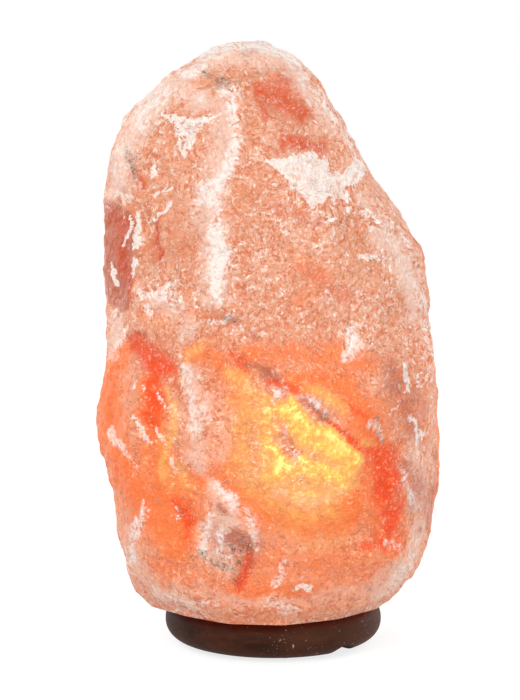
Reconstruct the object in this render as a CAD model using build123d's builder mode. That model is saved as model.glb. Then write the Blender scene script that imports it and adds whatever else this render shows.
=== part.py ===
from build123d import *

# Salt crystal lamp: a hand-hewn block of rock salt on a turned wooden base.
#
# Millimetres. The origin is on the base's axis at the table, +Z up, and the face that
# the lamp shows is towards -Y. The block is drilled from below, and a lamp holder with
# a sprung clip is pushed up through the base into that bore.

import os
from math import atan2, cos, degrees, hypot, pi, radians, sin

os.makedirs("parts", exist_ok=True)

# ---------------------------------------------------------------- fits
press_gap = 0.0  # pieces that are pushed or screwed together touch
slide_gap = 0.3  # between pieces that move past each other

# ---------------------------------------------------------------- wooden base
base_radius = 55.0
base_thickness = 20.0
base_edge_radius = 9.5
holder_hole_radius = 24.0

cord_groove_angle = -46.5  # from +X, so it leaves at the front right
cord_groove_width = 16.0
cord_groove_depth = 5.2

pad_radius = 6.0
pad_thickness = 1.5
pad_angles = (35, 120, 240, 325)  # from the cord groove

# ---------------------------------------------------------------- screws and plugs
screw_angles = (60, 180, 300)  # from the cord groove
screw_radius = 2.0
screw_length = 38.0
screw_head_radius = 4.0
screw_head_height = 2.4
screw_point_length = 4.0
screw_sink = 0.6  # how far the head lies below the wood
screw_slot_width = 1.0
screw_slot_depth = 1.1
plug_radius = 4.0
plug_length = 28.0
plug_rim_radius = 4.8
plug_rim_height = 1.0
plug_split_width = 0.8
plug_split_length = 18.0

# ---------------------------------------------------------------- salt crystal
lamp_bore_margin = 1.0  # wider than the hole in the base
lamp_bore_depth = 136.0
lamp_bore_end_radius = 8.0
plug_hole_extra = 2.0  # the drilled holes are deeper than the plugs

crystal_height = 281.0
crystal_width = 172.0
crystal_depth = 154.0

# Corners of the hewn cross section: angle from +X, and distance from the middle.
hewn_corner_angles = (
    (4, 1.00), (27, 1.07), (57, 1.06), (86, 0.99), (115, 1.07), (146, 1.09), (173, 1.00),
    (199, 1.06), (226, 1.12), (252, 1.02), (277, 1.00), (304, 1.07), (334, 1.08),
)  # fmt: skip

# Height above the foot as a share of the crystal's height, reach to the left and right
# as shares of its width, reach to the front and back as shares of its depth, the turn of
# the cross section in degrees, and how far its corners stand out: 1 as hewn, 0 on one
# circle, and less where the foot narrows between them.
crystal_level_ratios = (
    (0.000, 0.390, 0.352, 0.390, 0.357, 0, -0.8),
    (0.028, 0.419, 0.392, 0.429, 0.403, 2, 0.0),
    (0.060, 0.431, 0.416, 0.451, 0.432, 5, 0.5),
    (0.121, 0.444, 0.462, 0.474, 0.461, 1, 1),
    (0.206, 0.466, 0.483, 0.494, 0.487, -5, 1),
    (0.285, 0.509, 0.491, 0.503, 0.497, -9, 1),
    (0.363, 0.512, 0.477, 0.500, 0.500, -4, 1),
    (0.456, 0.483, 0.465, 0.477, 0.490, 3, 1),
    (0.541, 0.491, 0.451, 0.442, 0.474, 8, 1),
    (0.633, 0.494, 0.434, 0.416, 0.455, 3, 1),
    (0.712, 0.491, 0.355, 0.396, 0.429, -4, 1),
    (0.797, 0.474, 0.259, 0.357, 0.396, -8, 1),
    (0.875, 0.422, 0.186, 0.305, 0.351, -3, 1),
    (0.936, 0.320, 0.122, 0.247, 0.292, 4, 1),
    (0.979, 0.209, 0.052, 0.188, 0.227, 8, 1),
    (1.000, 0.140, -0.023, 0.117, 0.169, 10, 1),
)

# Flat faces left by cleaving: the way each one looks (angle from +X, and angle above
# level), its distance from the axis as a share of the width, and the height at which it
# lies that far out as a share of the height.
cleaved_face_angles = (
    (202, 2, 0.491, 0.694),
    (-27, -4, 0.477, 0.320),
    (-118, 9, 0.398, 0.712),
    (-55, 14, 0.343, 0.730),
    (38, 20, 0.372, 0.712),
    (138, 8, 0.471, 0.676),
    (88, -6, 0.430, 0.214),
    (-97, -8, 0.427, 0.185),
)

# Flakes sprung off the displayed side: the way the bare face looks, its distance and the
# height of a point on it as above, and the flake's outline on an upright plane facing that
# way: across to the right as a share of the width, and up as a share of the height.
sprung_flake_angles = (
    (-118, 9, 0.379, 0.712, (
        (-0.348, 0.557), (-0.209, 0.593), (-0.105, 0.628), (-0.023, 0.642),
        (-0.012, 0.724), (-0.035, 0.856), (-0.116, 0.891), (-0.348, 0.856),
    )),
    (209, 0, 0.465, 0.640, (
        (0.041, 0.585), (0.035, 0.653), (0.023, 0.728), (-0.070, 0.756),
        (-0.186, 0.742), (-0.209, 0.635), (-0.174, 0.564), (-0.058, 0.543),
    )),
    (-48, -3, 0.465, 0.244, (
        (-0.081, 0.151), (0.093, 0.123), (0.116, 0.244),
        (0.081, 0.358), (-0.035, 0.379), (-0.093, 0.279),
    )),
    (-95, 34, 0.208, 0.933, (
        (-0.360, 0.856), (-0.256, 0.913), (-0.139, 0.934), (0.000, 0.948),
        (0.105, 0.966), (0.105, 1.030), (-0.360, 1.030),
    )),
)  # fmt: skip

# ---------------------------------------------------------------- lamp holder
shell_radius = 7.25  # of the crests inside the E14 threaded shell
shell_wall = 0.4
shell_length = 20.0
shell_lift = 1.0  # of the shell's wall above the core, and its lip's thickness
thread_pitch = 2.82
thread_depth = 0.35

holder_wall = 1.8
sleeve_gap = 1.7  # between the core's ring and the sleeve
holder_drop = 9.5  # how far the holder hangs below the base's top
neck_radius = 6.0
neck_length = 3.0
cord_entry_radius = 3.6
cap_height = 14.0
cap_floor = 2.5
cap_edge_radius = 4.0
spigot_length = 5.0
sleeve_length = 38.0
sleeve_rim_radius = 0.6
core_length = 11.0
core_clearance = 0.2

terminal_width = 4.6
terminal_height = 6.5
terminal_spacing = 12.4
terminal_screw_radius = 1.25
terminal_screw_head_radius = 2.0
terminal_screw_head_height = 1.4
terminal_slot = 0.6

contact_width = 4.0
contact_thickness = 0.5
contact_rise = 1.6
contact_length = 10.0

# ---------------------------------------------------------------- spring clip
clip_thickness = 0.6
collar_height = 12.0
collar_drop = 24.0  # of the collar's top edge below the sleeve's top edge
lug_width = 12.0
lug_height = 4.0
wing_width = 10.0
wing_bead_radius = 0.7  # of the rolled root that the wing turns on
wing_bead_gap = 0.35
wing_grip_drop = 7.0  # of the bend that grips the wood, below the base's top
wing_tip_drop = 7.5  # of the finger tab's end below that bend
wing_tip_tuck = 4.4  # of the finger tab's end inside that bend

# ---------------------------------------------------------------- bulb
thread_gap = 0.35  # between the bulb's thread and the shell's
bulb_radius = 12.5
bulb_length = 85.0
glass_wall = 0.7
glass_shoulder_length = 11.0
bulb_cap_wall = 0.35
bulb_cap_length = 17.0
bulb_tip_radius = 2.3
bulb_tip_height = 1.2
insulator_height = 3.2
insulator_rim = 0.6  # wider than the tip
stem_length = 30.0
stem_radius = 2.2
lead_radius = 0.35
lead_length = 22.0
lead_spread = 7.0
filament_radius = 0.45
filament_rise = 4.0

# ---------------------------------------------------------------- worked out from the above
base_bottom = pad_thickness
base_top = base_bottom + base_thickness
base_edge = min(base_edge_radius, 0.49 * base_thickness)
lamp_bore_radius = holder_hole_radius + lamp_bore_margin
fixing_circle_radius = (lamp_bore_radius + base_radius - base_edge) / 2

shell_outer_radius = shell_radius + thread_depth + shell_wall
core_ring_radius = shell_outer_radius + core_clearance + holder_wall
spigot_radius = core_ring_radius + sleeve_gap
holder_radius = spigot_radius + holder_wall

neck_bottom = base_top - holder_drop
cap_bottom = neck_bottom + neck_length
cap_top = cap_bottom + cap_height
sleeve_top = cap_top + sleeve_length
core_bottom = cap_top + spigot_length
core_top = core_bottom + core_length
shell_bottom = core_top + shell_lift
collar_top = sleeve_top - collar_drop
collar_bottom = collar_top - collar_height

bulb_bottom = core_top + contact_rise + contact_thickness + slide_gap
insulator_bottom = bulb_bottom + bulb_tip_height
bulb_cap_bottom = insulator_bottom + insulator_height
bulb_cap_top = bulb_cap_bottom + bulb_cap_length
bulb_top = bulb_bottom + bulb_length
bulb_cap_radius = shell_radius - thread_gap
glass_neck_radius = bulb_cap_radius - bulb_cap_wall - thread_depth - press_gap


def around(radius, angle, height=0.0):
    """A point at a distance from the lamp's axis, its angle counted from the groove."""
    turn = radians(cord_groove_angle + angle)
    return (radius * cos(turn), radius * sin(turn), height)


def facing(angle, height=0.0):
    """A vertical plane through the axis that looks outwards at an angle from +X."""
    turn = radians(angle)
    return Plane(origin=(0, 0, height), x_dir=(-sin(turn), cos(turn), 0), z_dir=(cos(turn), sin(turn), 0))


# ================================================================ wooden base
groove_arc_radius = (cord_groove_width**2 / 4 + cord_groove_depth**2) / (2 * cord_groove_depth)
groove_centre_height = base_bottom + cord_groove_depth - groove_arc_radius

with BuildPart() as wooden_base:
    with BuildSketch(Plane.XY.offset(base_bottom)):
        Circle(base_radius)
    extrude(amount=base_thickness)
    fillet(wooden_base.edges().filter_by(GeomType.CIRCLE), base_edge)
    with BuildSketch(Plane.XY.offset(base_bottom)):
        Circle(holder_hole_radius)
    extrude(amount=base_thickness, mode=Mode.SUBTRACT)
    # The cord's groove: a round-nosed cutter's path from the hole to the rim.
    with BuildSketch(facing(cord_groove_angle, groove_centre_height)):
        Circle(groove_arc_radius)
    extrude(amount=base_radius, mode=Mode.SUBTRACT)
    # Countersunk holes for the screws, from below.
    screw_spots = [around(fixing_circle_radius, angle, base_bottom) for angle in screw_angles]
    with Locations(*[Plane(origin=spot, z_dir=(0, 0, -1)) for spot in screw_spots]):
        CounterSinkHole(
            radius=screw_radius + slide_gap,
            counter_sink_radius=screw_head_radius + screw_sink,
            depth=base_thickness,
            counter_sink_angle=2 * degrees(atan2(screw_head_radius - screw_radius, screw_head_height)),
        )
wooden_base.part.label = "wooden_base"

with BuildPart() as foot_pads:
    pad_spots = [around(fixing_circle_radius, angle) for angle in pad_angles]
    with BuildSketch():
        with Locations(*pad_spots):
            Circle(pad_radius)
    extrude(amount=pad_thickness)
foot_pads.part.label = "foot_pads"

# ================================================================ screws and plugs
screw_head_bottom = base_bottom + screw_sink
plug_bottom = base_top

with BuildPart() as base_screws:
    for angle in screw_angles:
        x, y, _ = around(fixing_circle_radius, angle)
        with BuildSketch(Plane(origin=(x, y, screw_head_bottom), x_dir=(1, 0, 0), z_dir=(0, -1, 0))):
            with BuildLine():
                Polyline(
                    (0, 0),
                    (screw_head_radius, 0),
                    (screw_radius, screw_head_height),
                    (screw_radius, screw_length - screw_point_length),
                    (0, screw_length),
                    close=True,
                )
            make_face()
        revolve(axis=Axis((x, y, 0), (0, 0, 1)))
        with BuildSketch(Plane(origin=(x, y, screw_head_bottom))):
            Rectangle(1.2 * screw_head_radius, screw_slot_width)
            Rectangle(screw_slot_width, 1.2 * screw_head_radius)
        extrude(amount=screw_slot_depth, mode=Mode.SUBTRACT)
base_screws.part.label = "base_screws"

with BuildPart() as screw_plugs:
    for angle in screw_angles:
        spot = around(fixing_circle_radius, angle, plug_bottom)
        with BuildSketch(Plane(origin=spot)):
            Circle(plug_rim_radius)
        extrude(amount=plug_rim_height)
        with BuildSketch(Plane(origin=spot)):
            Circle(plug_radius)
        extrude(amount=plug_length)
        with BuildSketch(Plane(origin=spot)):
            Circle(screw_radius + press_gap)
        extrude(amount=plug_length, mode=Mode.SUBTRACT)
        with BuildSketch(Plane(origin=spot).offset(plug_length - plug_split_length)):
            Rectangle(3 * plug_radius, plug_split_width)
        extrude(amount=plug_split_length, mode=Mode.SUBTRACT)
screw_plugs.part.label = "screw_plugs"

# ================================================================ salt crystal


def hewn_outline(left, right, front, back, turn, corners):
    """The hewn cross section, turned and then stretched to its shares of width and depth."""
    raw = []
    for angle, far in hewn_corner_angles:
        reach = 1 + (far - 1) * corners
        raw.append((reach * cos(radians(angle + turn)), reach * sin(radians(angle + turn))))
    x_low, x_high = min(x for x, _ in raw), max(x for x, _ in raw)
    y_low, y_high = min(y for _, y in raw), max(y for _, y in raw)
    return [
        (
            crystal_width * (-left + (x - x_low) / (x_high - x_low) * (left + right)),
            crystal_depth * (-front + (y - y_low) / (y_high - y_low) * (front + back)),
        )
        for x, y in raw
    ]


def bare_face(angle, tilt, distance, bite):
    """Plane of a cleaved face: it looks out at the angle and rises by the tilt."""
    out = Vector(cos(radians(angle)), sin(radians(angle)), 0)
    look = out * cos(radians(tilt)) + Vector(0, 0, sin(radians(tilt)))
    spot = out * distance * crystal_width + Vector(0, 0, base_top + bite * crystal_height)
    return Plane(origin=spot, z_dir=look)


with BuildPart() as salt_crystal:
    for height, *shares in crystal_level_ratios:
        with BuildSketch(Plane.XY.offset(base_top + height * crystal_height)):
            with BuildLine():
                Polyline(*hewn_outline(*shares), close=True)
            make_face()
    loft(ruled=True)
    for angle, tilt, distance, bite in cleaved_face_angles:
        split(bisect_by=bare_face(angle, tilt, distance, bite), keep=Keep.BOTTOM)
    for angle, tilt, distance, bite, outline in sprung_flake_angles:
        out = Vector(cos(radians(angle)), sin(radians(angle)), 0)
        with BuildPart(mode=Mode.PRIVATE) as flake:
            with BuildSketch(Plane(origin=(0, 0, base_top), x_dir=(-out.Y, out.X, 0), z_dir=out)):
                with BuildLine():
                    corners = [(crystal_width * across, crystal_height * up) for across, up in outline]
                    Polyline(*corners, close=True)
                make_face()
            extrude(amount=crystal_width)
            split(bisect_by=bare_face(angle, tilt, distance, bite), keep=Keep.TOP)
        add(flake.part, mode=Mode.SUBTRACT)
    # The lamp's bore, with a round end.
    with BuildSketch(Plane.XZ.offset(0)):
        with BuildLine():
            bore_top = base_top + lamp_bore_depth
            Polyline(
                (0, bore_top),
                (0, base_top),
                (lamp_bore_radius, base_top),
                (lamp_bore_radius, bore_top - lamp_bore_end_radius),
            )
            RadiusArc(
                (lamp_bore_radius, bore_top - lamp_bore_end_radius),
                (lamp_bore_radius - lamp_bore_end_radius, bore_top),
                -lamp_bore_end_radius,
            )
            Line((lamp_bore_radius - lamp_bore_end_radius, bore_top), (0, bore_top))
        make_face()
    revolve(axis=Axis.Z, mode=Mode.SUBTRACT)
    # Holes for the plugs, with a shallow seat for each rim.
    for angle in screw_angles:
        spot = around(fixing_circle_radius, angle, base_top)
        with BuildSketch(Plane(origin=spot)):
            Circle(plug_rim_radius + press_gap)
        extrude(amount=plug_rim_height, mode=Mode.SUBTRACT)
        with BuildSketch(Plane(origin=spot)):
            Circle(plug_radius + press_gap)
        extrude(amount=plug_length + plug_hole_extra, mode=Mode.SUBTRACT)
salt_crystal.part.label = "salt_crystal"

# ================================================================ lamp holder
with BuildPart() as holder_cap:
    with BuildSketch(Plane.XY.offset(cap_bottom)):
        Circle(holder_radius)
    extrude(amount=cap_height)
    fillet(holder_cap.faces().sort_by(Axis.Z)[0].edges(), cap_edge_radius)
    with BuildSketch(Plane.XY.offset(cap_top)):
        Circle(spigot_radius)
    extrude(amount=spigot_length)
    with BuildSketch(Plane.XY.offset(neck_bottom)):
        Circle(neck_radius)
    extrude(amount=neck_length + cap_floor)
    with BuildSketch(Plane.XY.offset(cap_bottom + cap_floor)):
        Circle(spigot_radius - holder_wall)
    extrude(amount=cap_height + spigot_length - cap_floor, mode=Mode.SUBTRACT)
    with BuildSketch(Plane.XY.offset(neck_bottom)):
        Circle(cord_entry_radius)
    extrude(amount=neck_length + cap_floor, mode=Mode.SUBTRACT)
holder_cap.part.label = "holder_cap"

with BuildPart() as holder_sleeve:
    with BuildSketch(Plane.XY.offset(cap_top)):
        Circle(holder_radius)
        Circle(spigot_radius + press_gap, mode=Mode.SUBTRACT)
    extrude(amount=sleeve_length)
    fillet(holder_sleeve.faces().sort_by(Axis.Z)[-1].edges(), sleeve_rim_radius)
holder_sleeve.part.label = "holder_sleeve"

terminal_spots = [(-terminal_spacing / 2, 0), (terminal_spacing / 2, 0)]

with BuildPart() as holder_core:
    with BuildSketch(Plane.XY.offset(core_bottom)):
        Circle(spigot_radius - core_clearance)
    extrude(amount=core_length)
    # Pockets for the terminals, open below, and a ring that holds the shell above.
    with BuildSketch(Plane.XY.offset(core_bottom)):
        with Locations(*terminal_spots):
            Rectangle(terminal_width, terminal_width)
    extrude(amount=terminal_height, mode=Mode.SUBTRACT)
    with BuildSketch(Plane.XY.offset(core_top)):
        Circle(core_ring_radius)
        Circle(core_ring_radius - holder_wall, mode=Mode.SUBTRACT)
    extrude(amount=shell_lift + thread_pitch)
holder_core.part.label = "holder_core"

with BuildPart() as terminal_blocks:
    with BuildSketch(Plane.XY.offset(core_bottom)):
        with Locations(*terminal_spots):
            Rectangle(terminal_width, terminal_width)
            Circle(terminal_screw_radius + press_gap, mode=Mode.SUBTRACT)
    extrude(amount=terminal_height)
terminal_blocks.part.label = "terminal_blocks"

with BuildPart() as terminal_screws:
    head_bottom = core_bottom - terminal_screw_head_height
    with BuildSketch(Plane.XY.offset(core_bottom)):
        with Locations(*terminal_spots):
            Circle(terminal_screw_radius)
    extrude(amount=terminal_height)
    with BuildSketch(Plane.XY.offset(head_bottom)):
        with Locations(*terminal_spots):
            Circle(terminal_screw_head_radius)
    extrude(amount=terminal_screw_head_height)
    with BuildSketch(Plane.XY.offset(head_bottom)):
        with Locations(*terminal_spots):
            Rectangle(terminal_slot, 2 * terminal_screw_head_radius)
    extrude(amount=terminal_slot, mode=Mode.SUBTRACT)
terminal_screws.part.label = "terminal_screws"


def rolled_wall(start, length, radius, depth):
    """Radius and height of each corner of a wall rolled into a screw thread."""
    turns = int(length // thread_pitch)
    corners = [(radius, start)]
    for turn in range(turns):
        low = start + turn * thread_pitch
        corners.append((radius, low + 0.2 * thread_pitch))
        corners.append((radius - depth, low + 0.5 * thread_pitch))
        corners.append((radius, low + 0.8 * thread_pitch))
    corners.append((radius, start + length))
    return corners


def thicken(corners, wall):
    """A closed outline from a line of corners and the same line moved out by a wall."""
    return corners + [(radius + wall, height) for radius, height in reversed(corners)]


with BuildPart() as screw_shell:
    with BuildSketch(Plane.XZ):
        with BuildLine():
            inner = rolled_wall(shell_bottom, shell_length, shell_radius + thread_depth, thread_depth)
            Polyline(*thicken(inner, shell_wall), close=True)
        make_face()
    revolve(axis=Axis.Z)
    # The inward lip that lies on the core, clear of the centre contact.
    with BuildSketch(Plane.XY.offset(core_top)):
        Circle(shell_outer_radius)
        Circle(contact_length / 2 + shell_lift, mode=Mode.SUBTRACT)
    extrude(amount=shell_lift)
screw_shell.part.label = "screw_shell"

with BuildPart() as centre_contact:
    # A strip that lies on the core and bows up towards the bulb's tip.
    with BuildSketch(Plane.XZ.offset(-contact_width / 2)):
        with BuildLine():
            half = contact_length / 2
            strip_top = core_top + contact_thickness
            ThreePointArc((-half, core_top), (0, core_top + contact_rise), (half, core_top))
            Line((half, core_top), (half, strip_top))
            ThreePointArc((half, strip_top), (0, strip_top + contact_rise), (-half, strip_top))
            Line((-half, strip_top), (-half, core_top))
        make_face()
    extrude(amount=contact_width)
centre_contact.part.label = "centre_contact"

# ================================================================ spring clip
lug_reach = holder_radius + press_gap + 2 * clip_thickness
wing_pivot_reach = lug_reach + wing_bead_gap + wing_bead_radius
wing_corner_reach = hypot(holder_hole_radius, wing_width / 2) - holder_hole_radius
wing_grip_reach = holder_hole_radius - wing_corner_reach - slide_gap - clip_thickness
wing_grip_height = base_top - wing_grip_drop

with BuildPart() as clip_collar:
    with BuildSketch(Plane.XY.offset(collar_bottom)):
        Circle(holder_radius + press_gap + clip_thickness)
    extrude(amount=collar_height)
    with BuildSketch(Plane.XY.offset(collar_top - lug_height)):
        Rectangle(2 * lug_reach, lug_width)
    extrude(amount=lug_height)
    with BuildSketch(Plane.XY.offset(collar_bottom)):
        Circle(holder_radius + press_gap)
    extrude(amount=collar_height, mode=Mode.SUBTRACT)
clip_collar.part.label = "clip_collar"


def bent_strip(side, label):
    """One wing of the clip: a rolled root, a strip out to the wood, and a tab in again."""
    with BuildPart() as wing:
        with BuildSketch(Plane.XZ.offset(-wing_width / 2)):
            with BuildLine():
                Polyline(
                    (side * wing_pivot_reach, collar_top),
                    (side * wing_grip_reach, wing_grip_height),
                    (side * (wing_grip_reach - wing_tip_tuck), wing_grip_height - wing_tip_drop),
                )
            trace(line_width=clip_thickness)
            with Locations((side * wing_pivot_reach, collar_top)):
                Circle(wing_bead_radius)
        extrude(amount=wing_width)
    wing.part.label = label
    return wing


clip_wing_right = bent_strip(1, "clip_wing_right")
clip_wing_left = bent_strip(-1, "clip_wing_left")

# ================================================================ bulb
glass_bottom = bulb_cap_bottom + bulb_cap_wall
shoulder_bottom = bulb_cap_top
shoulder_top = shoulder_bottom + glass_shoulder_length
dome_bottom = bulb_top - bulb_radius

with BuildPart() as bulb_glass:
    with BuildSketch(Plane.XZ):
        with BuildLine():
            outer = [
                Line((glass_neck_radius, glass_bottom), (glass_neck_radius, shoulder_bottom)),
                Spline(
                    (glass_neck_radius, shoulder_bottom),
                    (bulb_radius, shoulder_top),
                    tangents=[(0, 1), (0, 1)],
                ),
                Line((bulb_radius, shoulder_top), (bulb_radius, dome_bottom)),
                ThreePointArc(
                    (bulb_radius, dome_bottom),
                    (bulb_radius * sin(pi / 4), dome_bottom + bulb_radius * cos(pi / 4)),
                    (0, bulb_top),
                ),
            ]
            Line((0, bulb_top), (0, bulb_top - glass_wall))
            inner_radius = bulb_radius - glass_wall
            ThreePointArc(
                (0, bulb_top - glass_wall),
                (inner_radius * sin(pi / 4), dome_bottom + inner_radius * cos(pi / 4)),
                (inner_radius, dome_bottom),
            )
            Line((inner_radius, dome_bottom), (inner_radius, shoulder_top))
            Spline(
                (inner_radius, shoulder_top),
                (glass_neck_radius - glass_wall, shoulder_bottom),
                tangents=[(0, -1), (0, -1)],
            )
            Polyline(
                (glass_neck_radius - glass_wall, shoulder_bottom),
                (glass_neck_radius - glass_wall, glass_bottom),
                (glass_neck_radius, glass_bottom),
            )
        make_face()
    revolve(axis=Axis.Z)
bulb_glass.part.label = "bulb_glass"

with BuildPart() as bulb_cap:
    with BuildSketch(Plane.XZ):
        with BuildLine():
            cap_inner_radius = bulb_cap_radius - bulb_cap_wall
            bulb_wall = rolled_wall(bulb_cap_bottom, bulb_cap_length, cap_inner_radius, thread_depth)
            Polyline(*thicken(bulb_wall, bulb_cap_wall), close=True)
        make_face()
    revolve(axis=Axis.Z)
    with BuildSketch(Plane.XY.offset(bulb_cap_bottom)):
        Circle(bulb_cap_radius)
        Circle(bulb_tip_radius + insulator_rim, mode=Mode.SUBTRACT)
    extrude(amount=bulb_cap_wall)
bulb_cap.part.label = "bulb_cap"

with BuildPart() as bulb_insulator:
    with BuildSketch(Plane.XY.offset(insulator_bottom)):
        Circle(bulb_tip_radius + insulator_rim)
    with BuildSketch(Plane.XY.offset(bulb_cap_bottom)):
        Circle(bulb_cap_radius - thread_depth)
    loft()
bulb_insulator.part.label = "bulb_insulator"

with BuildPart() as bulb_tip:
    with BuildSketch(Plane.XY.offset(bulb_bottom)):
        Circle(bulb_tip_radius)
    extrude(amount=bulb_tip_height)
    fillet(bulb_tip.faces().sort_by(Axis.Z)[0].edges(), 0.8 * bulb_tip_height)
bulb_tip.part.label = "bulb_tip"

stem_bottom = glass_bottom
stem_top = stem_bottom + stem_length
lead_top = stem_top + lead_length

with BuildPart() as bulb_stem:
    with BuildSketch(Plane.XZ):
        with BuildLine():
            stem_flare_radius = glass_neck_radius - glass_wall
            flare_top = stem_bottom + 2 * stem_flare_radius
            Polyline(
                (stem_radius, stem_top),
                (0, stem_top),
                (0, stem_bottom),
                (stem_flare_radius, stem_bottom),
            )
            Spline(
                (stem_flare_radius, stem_bottom),
                (stem_radius, flare_top),
                tangents=[(-0.3, 1), (0, 1)],
            )
            Line((stem_radius, flare_top), (stem_radius, stem_top))
        make_face()
    revolve(axis=Axis.Z)
bulb_stem.part.label = "bulb_stem"

with BuildPart() as lead_wires:
    for side in (-1, 1):
        with BuildLine(Plane.XZ) as lead_line:
            Spline(
                (side * stem_radius / 2, stem_top),
                (side * lead_spread, lead_top),
                tangents=[(0, 1), (0, 1)],
            )
        with BuildSketch(Plane.XY.offset(stem_top)):
            with Locations((side * stem_radius / 2, 0)):
                Circle(lead_radius)
        sweep(path=lead_line.line)
lead_wires.part.label = "lead_wires"

with BuildPart() as filament:
    with BuildLine(Plane.XZ) as filament_line:
        filament_height = lead_top + filament_radius
        Spline(
            (-lead_spread, filament_height),
            (0, filament_height + filament_rise),
            (lead_spread, filament_height),
            tangents=[(1, 0), (1, 0)],
        )
    with BuildSketch(Plane(origin=filament_line.line @ 0, z_dir=filament_line.line % 0)):
        Circle(filament_radius)
    sweep(path=filament_line.line)
filament.part.label = "filament"

# ================================================================ files
for piece in (
    wooden_base, foot_pads, base_screws, screw_plugs, salt_crystal,
    holder_cap, holder_sleeve, holder_core, terminal_blocks, terminal_screws,
    screw_shell, centre_contact, clip_collar, clip_wing_right, clip_wing_left,
    bulb_glass, bulb_cap, bulb_insulator, bulb_tip, bulb_stem, lead_wires, filament,
):  # fmt: skip
    export_step(piece.part, f"parts/{piece.part.label}.step")
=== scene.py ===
from collections import namedtuple
from math import cos, pi, radians, sin

import bpy
import numpy as np
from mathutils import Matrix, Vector


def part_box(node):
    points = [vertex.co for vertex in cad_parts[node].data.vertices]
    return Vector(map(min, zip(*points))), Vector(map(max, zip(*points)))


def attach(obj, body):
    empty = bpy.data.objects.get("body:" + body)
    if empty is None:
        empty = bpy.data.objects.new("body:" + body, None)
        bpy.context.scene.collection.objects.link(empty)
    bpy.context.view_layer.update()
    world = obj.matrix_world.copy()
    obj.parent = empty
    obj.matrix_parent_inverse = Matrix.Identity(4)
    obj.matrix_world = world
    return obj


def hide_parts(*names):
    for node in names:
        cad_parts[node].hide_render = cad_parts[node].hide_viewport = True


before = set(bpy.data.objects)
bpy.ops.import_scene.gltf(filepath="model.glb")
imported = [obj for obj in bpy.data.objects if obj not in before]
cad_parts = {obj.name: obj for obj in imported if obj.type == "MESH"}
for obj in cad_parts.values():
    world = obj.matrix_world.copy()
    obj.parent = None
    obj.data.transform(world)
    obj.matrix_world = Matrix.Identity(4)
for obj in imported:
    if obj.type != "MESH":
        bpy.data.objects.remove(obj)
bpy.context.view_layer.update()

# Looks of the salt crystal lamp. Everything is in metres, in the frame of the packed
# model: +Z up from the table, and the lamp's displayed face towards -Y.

MM = 0.001

# ------------------------------------------------------------------ sizes from the frame
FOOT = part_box("salt_crystal")[0].z  # the height of the block's sawn foot

# ------------------------------------------------------------------ sizes chosen here
CORE = np.array((-0.012, 0.0))  # a line up the block's middle, from which its skin is measured
TURN_HEIGHT = 0.215  # above this the skin is measured from one point, in a fan
CROWN_RISE = radians(88.5)  # how far that fan rises
BORE_RADIUS = 25 * MM
BORE_DEPTH = 136 * MM
BORE_CORNER = 8 * MM
BORE_MARGIN = 2.5 * MM  # what lies this close to the bore belongs to it
# Rows and columns of the skin's grid, and of the coarser grid of measured rays.
COLUMNS = 360
SIDE_ROWS = 136
CROWN_ROWS = 88
FOOT_ROWS = 8
BORE_ROWS = 14
BORE_CORNER_ROWS = 4
BORE_END_ROWS = 3
RAY_COLUMNS = 180
RAY_SIDE_ROWS = 84
RAY_CROWN_ROWS = 48
RAY_SECTOR = 4  # columns measured together
# The camera looks at the aim from in front, a little from above.
EYE_DISTANCE = 1.35
EYE_RISE = 8.0
AIM = (-6.74 * MM, 0.0, 148.86 * MM)
LENS = 137.7
SENSOR = 36.0
PICTURE_WIDTH = 520
PICTURE_HEIGHT = 700


# ================================================================== noise in space
def cell_number(cells, seed):
    """A fixed number from 0 to 1 for each whole-number cell: its three indices, each times
    a large odd number, are added, and the bits of the sum are stirred."""
    c = cells.astype(np.int64).astype(np.uint64)
    h = c[..., 0] * np.uint64(0x9E3779B97F4A7C15) + c[..., 1] * np.uint64(0xC2B2AE3D27D4EB4F)
    h = h + c[..., 2] * np.uint64(0x165667B19E3779F9) + np.uint64(seed * 7919 + 17)
    h = (h ^ (h >> np.uint64(31))) * np.uint64(0xBF58476D1CE4E5B9)
    h = (h ^ (h >> np.uint64(29))) * np.uint64(0x94D049BB133111EB)
    return ((h ^ (h >> np.uint64(32))) & np.uint64(0xFFFFFF)).astype(np.float64) / 0xFFFFFF


def smooth_noise(points, size, seed):
    """From -1 to 1: the numbers of the eight cells round each point, blended by a curve
    that is level at both ends."""
    q = points / size
    low = np.floor(q)
    t = q - low
    t = t * t * t * (t * (t * 6 - 15) + 10)
    total = np.zeros(len(points))
    for corner in np.ndindex(2, 2, 2):
        weight = np.prod(np.where(corner, t, 1 - t), axis=-1)
        total += weight * cell_number(low + corner, seed)
    return total * 2 - 1


def layered_noise(points, size, seed, layers):
    """Several smooth noises added, each at half the size and half the height of the last."""
    total, height, reach = np.zeros(len(points)), 1.0, 0.0
    for layer in range(layers):
        total += height * smooth_noise(points, size / 2**layer, seed + layer)
        reach += height
        height /= 2
    return total / reach


def chipped(points, size, seed, sharpness):
    """Height of a surface broken into flat chips, from about -1 to 1: space is cut into
    cells round scattered seeds, each cell is a plane with a tilt of its own through its
    seed, and neighbouring planes are blended only close to the seams."""
    q = points / size
    home = np.floor(q)
    total, weights = np.zeros(len(points)), np.full(len(points), 1e-9)
    for step in np.ndindex(3, 3, 3):
        cell = home + np.array(step) - 1
        seed_point = cell + np.stack([cell_number(cell, seed + axis) for axis in range(3)], -1)
        tilt = np.stack([cell_number(cell, seed + 3 + axis) for axis in range(3)], -1) * 2 - 1
        lift = cell_number(cell, seed + 6) - 0.5
        away = q - seed_point
        weight = np.exp(-sharpness * np.sum(away * away, -1))
        total += weight * (np.sum(away * tilt, -1) + 0.6 * lift)
        weights += weight
    return total / weights


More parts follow.
